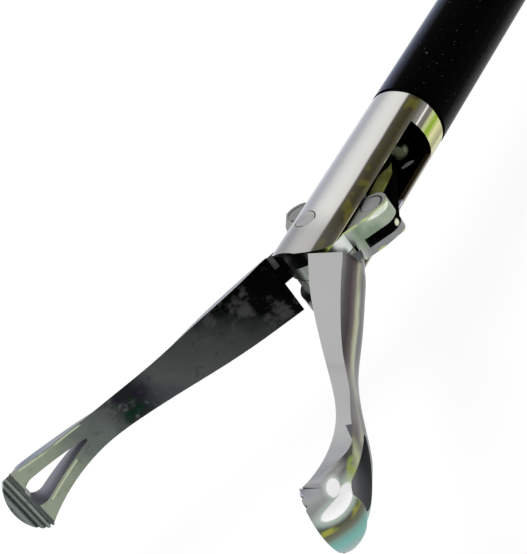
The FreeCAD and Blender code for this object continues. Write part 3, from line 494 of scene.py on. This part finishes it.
def tip_tones(s, jaw):
    """Widened end of the blade, round the window: painted reflection bands by the way it faces, painted
    shade along its crease, a painted lime reflection and a painted glare.
    """
    tip = turn_bands(s, jaw.around, [
        (-180, tone(104, 110, 105)), (-90, tone(110, 113, 117)), (-50, tone(150, 160, 160)),
        (-36, tone(120, 172, 166)), (-26, tone(122, 152, 146)), (-14, tone(116, 119, 108)),
        (-4, tone(72, 73, 70)), (4, tone(84, 86, 80)), (14, tone(122, 126, 116)),
        (24, tone(172, 178, 142)), (34, tone(134, 138, 118)), (45, tone(112, 114, 110)),
        (54, tone(164, 164, 162)), (64, tone(168, 168, 168)), (76, tone(176, 177, 181)),
        (92, tone(140, 143, 152)), (130, tone(104, 110, 105))])
    # Painted shade: the left jaw's side faces at the tip take a darker bluish grey.
    if jaw.side < 0:
        tip = s.mix(jaw.flat > 0.5, tip, tone(112, 118, 130))
    tip = s.mix(jaw.along.smooth(43.8, 44.6), tip, beak_tones(s, jaw))

    # Painted shade: a dark line along the crease between side and back.
    crease = abs(jaw.rise + 0.6 * jaw.along - 27.6).smooth(0.95, 0.2) * (jaw.along > 37.0)
    crease = crease * jaw.rise.smooth(0.2, 1.8) * jaw.along.smooth(44.2, 43.2)
    crease = crease * (jaw.around - 4.0 * (jaw.along - 41.0)).smooth(62.0, 50.0)
    tip = s.mix(crease * (jaw.reach > 1.9) * 0.8, tip, tone(66, 60, 60))
    # Painted reflection: a lime patch near the crease.
    lime = jaw.spot((41.6, 4.2, 1.9), (1.9, 0.9, 0.42))
    lime = lime * s.noise(jaw.place, 600.0, 2.0).smooth(0.32, 0.5)
    tip = s.mix(lime * 0.7, tip, tone(156, 178, 84))

    # Painted glare: a pale halo round a white core.
    halo = s.greater(jaw.spot((44.1, 2.75, 2.85), (1.5, 0.9, 0.9)),
                     jaw.spot((44.7, 2.4, 1.75), (3.2, 2.6, 1.15)))
    tip = s.mix(halo * 0.6, tip, tone(206, 220, 208))
    glare = s.greater(jaw.spot((44.1, 2.75, 2.85), (1.15, 0.64, 0.68)),
                      jaw.spot((44.7, 2.4, 1.8), (2.6, 2.0, 0.75)))
    return s.mix(glare.smooth(0.3, 0.8), tip, tone(255, 255, 255))


def back_shade(s, jaw):
    """Share of shade on the back of the blade, before the window and beside the pivot."""
    by_window = jaw.along.hill(28.0, 31.0, 40.0, 42.0) * jaw.around.smooth(-24.0, -14.0) * 0.7
    by_pivot = jaw.along.smooth(14.0, 10.0) * jaw.around.smooth(-40.0, -34.0) * 0.5
    return s.greater(by_window, by_pivot) * jaw.around.smooth(8.0, 3.0)


def window_walls(s, jaw):
    """1 on the walls of the window, and 0 elsewhere."""
    wall = s.greater(jaw.flat > 0.7, jaw.forward < -0.4)
    return wall * (abs(jaw.reach) < WINDOW_HALF) * (jaw.along > WINDOW_START) * (jaw.along < WINDOW_END)


def blade_face_tones(s, jaw, blotch):
    """Dark matt inner face of the blade, paler towards the window, with lit edges."""
    place = jaw.along + 7.0 * (blotch - 0.5) + 1.1 * jaw.reach * jaw.along.smooth(36.0, 30.0)
    face = length_bands(s, place / BLADE_LENGTH, [
        (0.0, tone(5, 5, 6)), (0.24, tone(8, 9, 10)), (0.33, tone(64, 66, 65)),
        (0.5, tone(84, 86, 86)), (0.58, tone(74, 78, 80)), (0.66, tone(92, 96, 95)),
        (0.76, tone(108, 116, 110)), (0.86, tone(152, 161, 143)), (0.97, tone(164, 172, 153)),
        (1.0, tone(164, 172, 153))])
    edge = 1.95 + 0.11 * s.greater(jaw.along - 34.0, 0.0) + 0.18 * s.greater(jaw.along - 39.5, 0.0)
    edge_light = abs(jaw.reach + edge).smooth(0.16, 0.06) * (jaw.along > 34.5) * (jaw.along < 43.6)
    edge_light = edge_light * s.noise(jaw.place, 320.0, 2.0).smooth(0.36, 0.5)
    sill_light = abs(jaw.reach - 1.15 - 0.22 * (jaw.along - 38.0)).smooth(0.16, 0.06)
    sill_light = sill_light * (jaw.along > 37.5) * (jaw.along < 42.5)
    return s.mix(s.greater(edge_light, sill_light) * 0.8, face, tone(212, 220, 190))


def inner_tones(s, jaw):
    """Whole inner face: the blade with its stains, then the painted light and shade bands across the
    ridged pad.
    """
    blotch = s.noise(jaw.place, 260.0, 5.0, 0.62)
    # Painted light and shade: pale and dark bands across the pad's ridges.
    pad = length_bands(s, (jaw.along - PAD_RIDGES) / PAD_LENGTH, [
        (0.0, tone(112, 116, 110)), (0.07, tone(84, 88, 82)), (0.15, tone(106, 110, 106)),
        (0.24, tone(166, 175, 166)), (0.33, tone(96, 102, 96)), (0.45, tone(130, 137, 130)),
        (0.58, tone(94, 100, 96)), (0.65, tone(92, 98, 94)), (0.77, tone(136, 143, 138)),
        (0.86, tone(104, 109, 105)), (1.0, tone(100, 104, 102))])
    face = s.mix(jaw.along > PAD_RIDGES, blade_face_tones(s, jaw, blotch), pad)
    near_pivot = jaw.along.smooth(20.0, 13.0)
    face = s.mix(near_pivot * blotch.smooth(0.52, 0.62) * 0.8, face, tone(74, 76, 74))
    middle = jaw.along.hill(24.0, 28.0, 29.0, 33.0)
    face = s.mix(middle * blotch.smooth(0.46, 0.54) * 0.85, face, tone(16, 20, 22))
    stain = s.noise(jaw.place, 420.0, 2.0)
    face = s.mix(middle * stain.smooth(0.55, 0.62) * 0.7, face, tone(10, 46, 28))
    face = s.mix(middle * stain.smooth(0.42, 0.36) * 0.6, face, tone(36, 22, 48))
    specks = s.noise(jaw.place, 900.0, 3.0, 0.6).smooth(0.6, 0.68)
    return s.mix(specks * 0.3, face, tone(34, 36, 36))


def fork_tones(s, jaw, colour):
    """Hub and forked tail: inward faces painted pale as lit, with painted highlights; cheeks in blotchy
    grey with painted light towards the hub, and an oily pin ring.
    """
    fork = jaw.along < FORK_END
    # Painted light: faces that look inward are pale, paler still towards the hub.
    pale = s.mix(s.noise(jaw.place, 300.0, 3.0).smooth(0.4, 0.62), tone(122, 139, 118),
                 tone(160, 172, 152))
    pale = s.mix((jaw.reach > 1.0) * 0.8, pale, tone(138, 138, 142))
    pale = s.mix(jaw.along.smooth(-3.5, -1.0), pale, tone(226, 231, 226))
    # Painted highlight: lime light along the outer corners.
    corner = (abs(jaw.reach) > 2.02) * s.noise(jaw.place, 500.0, 2.0).smooth(0.45, 0.6)
    pale = s.mix(corner * 0.7, pale, tone(196, 210, 132))
    # Painted highlight: one white spot on the tail.
    pale = s.mix(jaw.spot((-7.0, -4.56, -1.85), (2.0, 0.8, 0.3)), pale, tone(236, 242, 228))
    # Cheeks: blotchy grey with painted light towards the hub, and a dark oily ring round the pin.
    cheek_tone_lit = s.mix(s.noise(jaw.place, 420.0, 3.0).smooth(0.35, 0.6), tone(92, 94, 88),
                 tone(134, 137, 132))
    cheek_tone_lit = s.mix(jaw.along.smooth(-8.5, -6.0), cheek_tone_lit, tone(146, 149, 144))
    from_pin = ((jaw.along + TAIL_PIN_BACK) ** 2.0 + (jaw.rise + TAIL_PIN_SIDE) ** 2.0) ** 0.5
    oil = from_pin.smooth(TAIL_PIN_RADIUS + 0.04, TAIL_PIN_RADIUS - 0.04)
    oil = oil * s.noise(jaw.place, 420.0, 1.0).smooth(0.44, 0.5)
    cheek_tone_lit = s.mix(oil, cheek_tone_lit, tone(26, 26, 26))
    colour = s.mix(fork * (jaw.outward < -0.3), colour, pale)
    return s.mix(fork * (jaw.flat > 0.8), colour, cheek_tone_lit)


def jaw_steel(name, side, rest):
    """Jaw metal; side is 1 for the right jaw and -1 for the left one."""
    s = Shader(name)
    jaw = JawPlace(s, side, rest)
    towards_tip = (jaw.along + 4.0 * (jaw.patch - 0.5)).smooth(35.5, 39.5)
    colour = s.mix(towards_tip, shank_tones(s, jaw), tip_tones(s, jaw))
    colour = s.mix(back_shade(s, jaw), colour, tone(24, 24, 26))
    window = window_walls(s, jaw)
    colour = s.mix(window, colour, tone(108, 108, 116) if side < 0 else tone(84, 84, 86))
    pad = (jaw.outward < -0.3) * (jaw.along > PAD_FACE)
    inner = s.greater((jaw.outward < -0.6) * (jaw.along > FORK_END), pad)
    colour = s.mix(inner, colour, inner_tones(s, jaw))
    colour = fork_tones(s, jaw, colour)
    if side < 0:
        cheek = (jaw.flat > 0.8) * (jaw.along > FORK_END) * (jaw.along < 6.6)
        colour = s.mix(cheek, colour, tone(40, 40, 44))
    shoulder = (jaw.forward > 0.6) * (jaw.along < 6.5)
    colour = s.mix(shoulder, colour, tone(142, 148, 142))

    dull = s.greater(window, 0.75 * pad)
    if side < 0:
        dull = s.greater(dull, (jaw.flat > 0.5) * (jaw.along > FORK_END) * 0.7)
    brushed = s.noise(s.stretched(jaw.place, (300.0, 300.0, 1800.0)), 1.0, 3.0, 0.6)
    s.set(Base_Color=colour,
          Metallic=1.0 - dull,
          Specular_IOR_Level=0.05,
          Roughness=0.3 + 0.25 * inner + 0.12 * (brushed - 0.5),
          Normal=s.bump(brushed, 0.06, 0.05 * MM))
    return s.material


# Links and rod end

def link_steel(name, streak):
    """Link, painted nearly black as shade deep in the slot; streak is the strength of the painted olive
    highlight along it and of the painted highlight on its end.
    """
    s = Shader(name)
    place = s.object_place()
    x, y, z = s.millimetres(place)
    upward = s.split(s.facing())[2]
    pin_x, pin_y = TAIL_PIN_LEFT
    cosine = math.cos(LINK_LEAN)
    sine = math.sin(LINK_LEAN)
    along = (pin_x - x) * cosine + (pin_y - y) * sine
    across = (x - pin_x) * sine - (y - pin_y) * cosine
    # Painted highlight: an olive bar along the top face.
    bar = abs(across + 0.43 * along - 3.0).smooth(1.3, 1.0) * (along > 3.5) * (upward > 0.9)
    olive = s.mix(s.noise(place, 420.0, 3.0).smooth(0.4, 0.6), tone(178, 184, 88), tone(246, 246, 140))
    colour = s.mix(bar * streak, tone(8, 8, 6), olive)
    # Painted highlight: a pale bead on the link's end.
    bead = spot((x, y, z), (18.78, 7.61, -0.9), (0.42, 0.42, 0.42))
    colour = s.mix(bead * streak, colour, tone(250, 250, 214))
    return polish(s, place, 0.3, 0.08, 0.08, colour, metal=0.0, edge_shine=0.0)


def tang_steel():
    """Rod end deep in the slot, painted dark as shade, with one painted highlight patch."""
    s = Shader("tang_steel")
    place = s.object_place()
    # Painted highlight: one pale patch on the rod end.
    patch = spot(s.millimetres(place), (5.6, 1.1, -0.6), (1.0, 1.1, 0.9))
    patch = patch * s.noise(place, 500.0, 2.0).smooth(0.35, 0.5)
    colour = s.mix(patch, tone(8, 8, 6), tone(150, 158, 122))
    return polish(s, place, 0.3, 0.08, 0.08, colour, metal=0.0, edge_shine=0.0)


# Plastics and rubber

def moulded(name, dark, light, roughness):
    """Moulded polymer with a fine spark-eroded grain and a parting line in the middle plane."""
    s = Shader(name)
    place = s.object_place()
    grain = s.noise(place, 2200.0, 2.0, 0.6)
    cloud = s.noise(place, 90.0, 3.0)
    seam = abs(s.millimetres(place)[2]).smooth(0.2, 0.08)
    seam_colour = tuple(part * 0.35 for part in dark)
    s.set(Base_Color=s.mix(seam, s.mix(cloud, dark, light), seam_colour),
          Roughness=roughness + 0.1 * (cloud - 0.5),
          Normal=s.bump(grain - 3.0 * seam, 0.35, 0.06 * MM))
    return s.material


polished = steel("polished_steel", tone(142, 143, 146), tone(206, 206, 204),
                 roughness=0.16, grain=0.06, scratch=0.1)
satin = steel("satin_steel", tone(150, 151, 152), tone(196, 196, 194),
              roughness=0.3, grain=0.1, scratch=0.08)
worn_pin = steel("pin_steel", tone(112, 111, 112), tone(152, 152, 155),
                 roughness=0.26, grain=0.08, scratch=0.08)
grey_polymer = moulded("grey_polymer", (0.16, 0.17, 0.19), (0.24, 0.25, 0.27), 0.42)

use(insulation(), "insulation_sheath")
use(clevis_steel(), "jaw_clevis")
use(jaw_steel("jaw_steel_right", 1, RIGHT_OPEN), "jaw_right")
use(jaw_steel("jaw_steel_left", -1, LEFT_OPEN), "jaw_left")
use(link_steel("link_steel_left", 1.0), "link_left")
use(link_steel("link_steel_right", 0.0), "link_right")
use(tang_steel(), "rod_tang", "tang_pin")
use(worn_pin, "tail_pin_right", "tail_pin_left")
use(polished, "pivot_pin", "rod_ball", "hf_pin")
use(satin, "push_rod", "outer_tube", "shaft_hub", "front_socket", "socket_cap", "port_stem",
    "flush_port", "knob_screw", "pivot_screw", "pivot_nut", "pivot_bush", "release_lever",
    "release_pin", "ratchet_rack", "rack_pins")
use(moulded("black_polymer", (0.012, 0.012, 0.013), (0.028, 0.028, 0.03), 0.45),
    "fixed_handle", "thumb_lever")
use(grey_polymer, "rotation_knob")
use(moulded("white_polymer", (0.78, 0.78, 0.76), (0.86, 0.86, 0.84), 0.38), "rod_guides")
use(moulded("silicone", (0.42, 0.45, 0.48), (0.52, 0.55, 0.58), 0.5), "rod_seal")


# Small details, each on the surface of its own body

def shape_tree(name, inputs):
    """Geometry tree with one named number for each input, and its group input node."""
    tree = bpy.data.node_groups.new(name, "GeometryNodeTree")
    for label in inputs:
        tree.interface.new_socket(name=label, in_out="INPUT", socket_type="NodeSocketFloat")
    tree.interface.new_socket(name="Geometry", in_out="OUTPUT", socket_type="NodeSocketGeometry")
    return tree, added_node(tree, "NodeGroupInput", {})


def maths(tree, operation, first, second):
    """Output of a math node, in a shape or a shader tree."""
    return added_node(tree, "ShaderNodeMath", {"operation": operation}, first, second).outputs[0]


def joined(tree, *parts):
    """Joins shapes into one."""
    made = added_node(tree, "GeometryNodeJoinGeometry", {})
    for part in parts:
        tree.links.new(part, made.inputs[0])
    return made.outputs[0]


def grown(name, tree, shape, values, material, body):
    """Closes the tree, turns its shape into one plain mesh and puts that on its body."""
    real = added_node(tree, "GeometryNodeRealizeInstances", {}, Geometry=shape)
    coated = added_node(tree, "GeometryNodeSetMaterial", {}, Geometry=real.outputs[0], Material=material)
    added_node(tree, "NodeGroupOutput", {}, coated.outputs[0])
    seed = bpy.data.objects.new(name + "_seed", bpy.data.meshes.new(name + "_seed"))
    bpy.context.scene.collection.objects.link(seed)
    modifier = seed.modifiers.new("shape", "NODES")
    modifier.node_group = tree
    for item in tree.interface.items_tree:
        if item.in_out == "INPUT":
            modifier[item.identifier] = values[item.name]
    bpy.context.view_layer.update()
    mesh = bpy.data.meshes.new_from_object(seed.evaluated_get(bpy.context.evaluated_depsgraph_get()))
    bpy.data.objects.remove(seed)
    mesh.name = name
    piece = bpy.data.objects.new(name, mesh)
    bpy.context.scene.collection.objects.link(piece)
    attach(piece, body)


def luer_thread(material):
    """Two-start thread round the flush port, under its flange."""
    values = {"Radius": 3.0 * MM, "Rise": 2.4 * MM, "Turns": 1.4, "Bead": 0.42 * MM,
              "Foot": PORT_THREAD_FOOT * MM, "Port X": PORT_X * MM}
    tree, given = shape_tree("luer_thread", values)
    spiral = added_node(tree, "GeometryNodeCurveSpiral", {}, Resolution=48,
                        Rotations=given.outputs["Turns"], Start_Radius=given.outputs["Radius"],
                        End_Radius=given.outputs["Radius"], Height=given.outputs["Rise"])
    bead = added_node(tree, "GeometryNodeCurvePrimitiveCircle", {}, Resolution=10,
                      Radius=given.outputs["Bead"])
    ridge = added_node(tree, "GeometryNodeCurveToMesh", {}, Curve=spiral.outputs[0],
                       Profile_Curve=bead.outputs[0], Fill_Caps=True)
    place = added_node(tree, "ShaderNodeCombineXYZ", {}, X=given.outputs["Port X"],
                       Y=given.outputs["Foot"])
    starts = []
    for turn in (0.0, math.pi):
        spun = added_node(tree, "GeometryNodeTransform", {}, Geometry=ridge.outputs[0],
                          Rotation=(0.0, 0.0, turn))
        tipped = added_node(tree, "GeometryNodeTransform", {}, Geometry=spun.outputs[0],
                            Rotation=(-math.pi / 2, 0.0, 0.0), Translation=place.outputs[0])
        starts.append(tipped.outputs[0])
    grown("luer_thread", tree, joined(tree, *starts), values, material, "shaft")


def knob_ribs(material):
    """Ring of grip ribs round the rear collar of the rotation knob."""
    values = {"Count": 40.0, "Radius": 8.5 * MM, "Length": 3.6 * MM, "Width": 0.55 * MM,
              "Height": 0.8 * MM, "Middle X": KNOB_COLLAR_X * MM}
    tree, given = shape_tree("knob_ribs", values)
    ring = added_node(tree, "GeometryNodeMeshCircle", {}, Vertices=given.outputs["Count"],
                      Radius=given.outputs["Radius"])
    size = added_node(tree, "ShaderNodeCombineXYZ", {}, X=given.outputs["Height"],
                      Y=given.outputs["Width"], Z=given.outputs["Length"])
    rib = added_node(tree, "GeometryNodeMeshCube", {}, Size=size.outputs[0])
    index = added_node(tree, "GeometryNodeInputIndex", {})
    step = maths(tree, "DIVIDE", 2 * math.pi, given.outputs["Count"])
    angle = maths(tree, "MULTIPLY", index.outputs[0], step)
    turn = added_node(tree, "ShaderNodeCombineXYZ", {}, Z=angle)
    set_round = added_node(tree, "GeometryNodeInstanceOnPoints", {}, Points=ring.outputs[0],
                           Instance=rib.outputs[0], Rotation=turn.outputs[0])
    place = added_node(tree, "ShaderNodeCombineXYZ", {}, X=given.outputs["Middle X"])
    tipped = added_node(tree, "GeometryNodeTransform", {}, Geometry=set_round.outputs[0],
                        Rotation=(0.0, math.pi / 2, 0.0), Translation=place.outputs[0])
    grown("knob_ribs", tree, tipped.outputs[0], values, material, "shaft")


def ring_liner(name, centre, straight, material, body):
    """Soft liner inside a ring of the handle, with cross ribs for grip.

    straight is the length of the straight sides between the round ends, in millimetres.
    """
    corner = RING_BORE / 2 - 0.01
    values = {"Width": RING_BORE * MM, "Height": (RING_BORE + straight) * MM, "Corner": corner * MM,
              "Thickness": 0.9 * MM, "Half": 2.9 * MM, "Ribs": 30.0 + straight / 2.0,
              "Centre X": centre[0] * MM, "Centre Y": centre[1] * MM}
    rib_size = (0.5 * MM, 1.25 * MM, 2.6 * MM)
    tree, given = shape_tree(name, values)
    oblong = added_node(tree, "GeometryNodeCurvePrimitiveQuadrilateral", {},
                        Width=given.outputs["Width"], Height=given.outputs["Height"])
    path = added_node(tree, "GeometryNodeFilletCurve", {"mode": "POLY"}, Count=24,
                      Curve=oblong.outputs[0], Radius=given.outputs["Corner"], Limit_Radius=True)
    band = added_node(tree, "GeometryNodeCurvePrimitiveCircle", {}, Resolution=20, Radius=1.0)
    size = added_node(tree, "ShaderNodeCombineXYZ", {}, X=given.outputs["Thickness"],
                      Y=given.outputs["Half"], Z=1.0)
    flat = added_node(tree, "GeometryNodeTransform", {}, Geometry=band.outputs[0], Scale=size.outputs[0])
    liner = added_node(tree, "GeometryNodeCurveToMesh", {}, Curve=path.outputs[0],
                       Profile_Curve=flat.outputs[0])
    stations = added_node(tree, "GeometryNodeResampleCurve", {}, Curve=path.outputs[0],
                          Count=given.outputs["Ribs"])
    tangent = added_node(tree, "GeometryNodeInputTangent", {})
    along = added_node(tree, "FunctionNodeAlignRotationToVector", {"axis": "X"},
                       Vector=tangent.outputs[0])
    rib = added_node(tree, "GeometryNodeMeshUVSphere", {}, Segments=12, Rings=8, Radius=1.0)
    rib_flat = added_node(tree, "GeometryNodeTransform", {}, Geometry=rib.outputs[0], Scale=rib_size)
    ribs = added_node(tree, "GeometryNodeInstanceOnPoints", {}, Points=stations.outputs[0],
                      Instance=rib_flat.outputs[0], Rotation=along.outputs[0])
    place = added_node(tree, "ShaderNodeCombineXYZ", {}, X=given.outputs["Centre X"],
                       Y=given.outputs["Centre Y"])
    moved = added_node(tree, "GeometryNodeTransform", {},
                       Geometry=joined(tree, liner.outputs[0], ribs.outputs[0]),
                       Translation=place.outputs[0])
    grown(name, tree, moved.outputs[0], values, material, body)


def hexagon_reach(radius, angle):
    """Distance from the middle of a hexagon to its side, for the given corner distance."""
    sixth = math.pi / 3
    return radius * math.cos(sixth / 2) / math.cos(angle % sixth - sixth / 2)


def screw_heads(name, places, level, material, body):
    """Small screws with six-sided sockets, let into a flat face that looks to +Z."""
    sides = 24
    foot = -0.25
    rim = 0.3
    crown = 0.55
    socket_floor = 0.1
    head_radius = 1.7
    crown_radius = 1.4
    socket_radius = 0.9
    rings = ((foot, head_radius, False), (rim, head_radius, False), (crown, crown_radius, False),
             (crown, socket_radius, True), (socket_floor, socket_radius, True))
    points = []
    faces = []
    for centre_x, centre_y in places:
        start = len(points)
        for height, radius, six_sided in rings:
            for step in range(sides):
                angle = 2 * math.pi * step / sides
                reach = hexagon_reach(radius, angle) if six_sided else radius
                points.append(((centre_x + reach * math.cos(angle)) * MM,
                               (centre_y + reach * math.sin(angle)) * MM,
                               (level + height) * MM))
        for ring in range(len(rings) - 1):
            for step in range(sides):
                low = start + ring * sides
                after = (step + 1) % sides
                faces.append((low + step, low + after, low + sides + after, low + sides + step))
        top = start + (len(rings) - 1) * sides
        faces.append(tuple(top + step for step in range(sides)))
        faces.append(tuple(start + step for step in reversed(range(sides))))
    mesh = bpy.data.meshes.new(name)
    mesh.from_pydata(points, [], faces)
    mesh.materials.append(material)
    piece = bpy.data.objects.new(name, mesh)
    bpy.context.scene.collection.objects.link(piece)
    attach(piece, body)


screw_heads("housing_screws", HOUSING_SCREWS, HOUSING_FACE, satin, "handle")
luer_thread(satin)
knob_ribs(grey_polymer)
liner_rubber = moulded("liner_rubber", (0.05, 0.055, 0.06), (0.09, 0.095, 0.1), 0.6)
ring_liner("finger_ring_liner", FINGER_RING, FINGER_RING_STRAIGHT, liner_rubber, "handle")
ring_liner("thumb_ring_liner", THUMB_RING, 0.0, liner_rubber, "lever")


# Studio

def seen_white(tree, plain, white):
    """White where the camera or a clear reflection looks, and the plain shader for the lighting."""
    path = added_node(tree, "ShaderNodeLightPath", {})
    straight = maths(tree, "MAXIMUM", path.outputs["Is Camera Ray"],
                     path.outputs["Is Transmission Ray"])
    seen = maths(tree, "MAXIMUM", straight, path.outputs["Is Glossy Ray"])
    mixed = added_node(tree, "ShaderNodeMixShader", {}, seen, plain.outputs[0], white.outputs[0])
    return mixed.outputs[0]


def studio_floor():
    """Pale floor just under the part, lit mostly by itself so that it reads as white paper."""
    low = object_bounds()[0]
    half = FLOOR_SIDE / 2
    level = low.z - FLOOR_GAP
    mesh = bpy.data.meshes.new("floor")
    corners = [(-half, -half, level), (half, -half, level), (half, half, level), (-half, half, level)]
    mesh.from_pydata(corners, [], [(0, 1, 2, 3)])
    floor = bpy.data.objects.new("floor", mesh)
    bpy.context.scene.collection.objects.link(floor)
    material = bpy.data.materials.new("pale_floor")
    material.use_nodes = True
    tree = material.node_tree
    tree.nodes.clear()
    plain = added_node(tree, "ShaderNodeBsdfDiffuse", {}, (FLOOR_PALE, FLOOR_PALE, FLOOR_PALE, 1.0))
    white = added_node(tree, "ShaderNodeEmission", {}, Strength=1.0)
    lit = added_node(tree, "ShaderNodeMixShader", {}, FLOOR_GLOW, plain.outputs[0], white.outputs[0])
    added_node(tree, "ShaderNodeOutputMaterial", {}, Surface=seen_white(tree, plain, lit))
    mesh.materials.append(material)


def studio_world():
    """Faint cool light from all round, behind a white backdrop."""
    world = bpy.data.worlds.new("studio")
    bpy.context.scene.world = world
    world.use_nodes = True
    tree = world.node_tree
    tree.nodes.clear()
    plain = added_node(tree, "ShaderNodeBackground", {}, Color=SKY_COLOUR, Strength=SKY_STRENGTH)
    white = added_node(tree, "ShaderNodeBackground", {}, Strength=1.0)
    added_node(tree, "ShaderNodeOutputWorld", {}, Surface=seen_white(tree, plain, white))


def softbox(name, place, target, side, power):
    """Square lamp of the given side, turned to its target."""
    lamp = bpy.data.lights.new(name, "AREA")
    lamp.shape = "SQUARE"
    lamp.size = side
    lamp.energy = power
    made = bpy.data.objects.new(name, lamp)
    made.location = place
    made.rotation_mode = "QUATERNION"
    made.rotation_quaternion = (Vector(target) - Vector(place)).to_track_quat("-Z", "Y")
    bpy.context.scene.collection.objects.link(made)


def camera():
    """Camera at the place and angle from which the photograph was taken."""
    right = Vector(CAMERA_RIGHT)
    up = Vector(CAMERA_UP)
    back = right.cross(up)
    turn = Matrix((right, up, back)).transposed()
    data = bpy.data.cameras.new("camera")
    data.sensor_width = SENSOR_MM
    data.lens = FOCAL_PIXELS / max(PHOTO_WIDTH, PHOTO_HEIGHT) * SENSOR_MM
    data.clip_start = CLIP_NEAR
    data.clip_end = CLIP_FAR
    made = bpy.data.objects.new("camera", data)
    made.matrix_world = Matrix.Translation(Vector(CAMERA_PLACE)) @ turn.to_4x4()
    bpy.context.scene.collection.objects.link(made)
    bpy.context.scene.camera = made


studio_floor()
studio_world()
softbox("key", KEY_PLACE, (0.0, 0.0, 0.0), KEY_SIDE, KEY_POWER)
camera()
bpy.context.scene.view_settings.view_transform = "Standard"
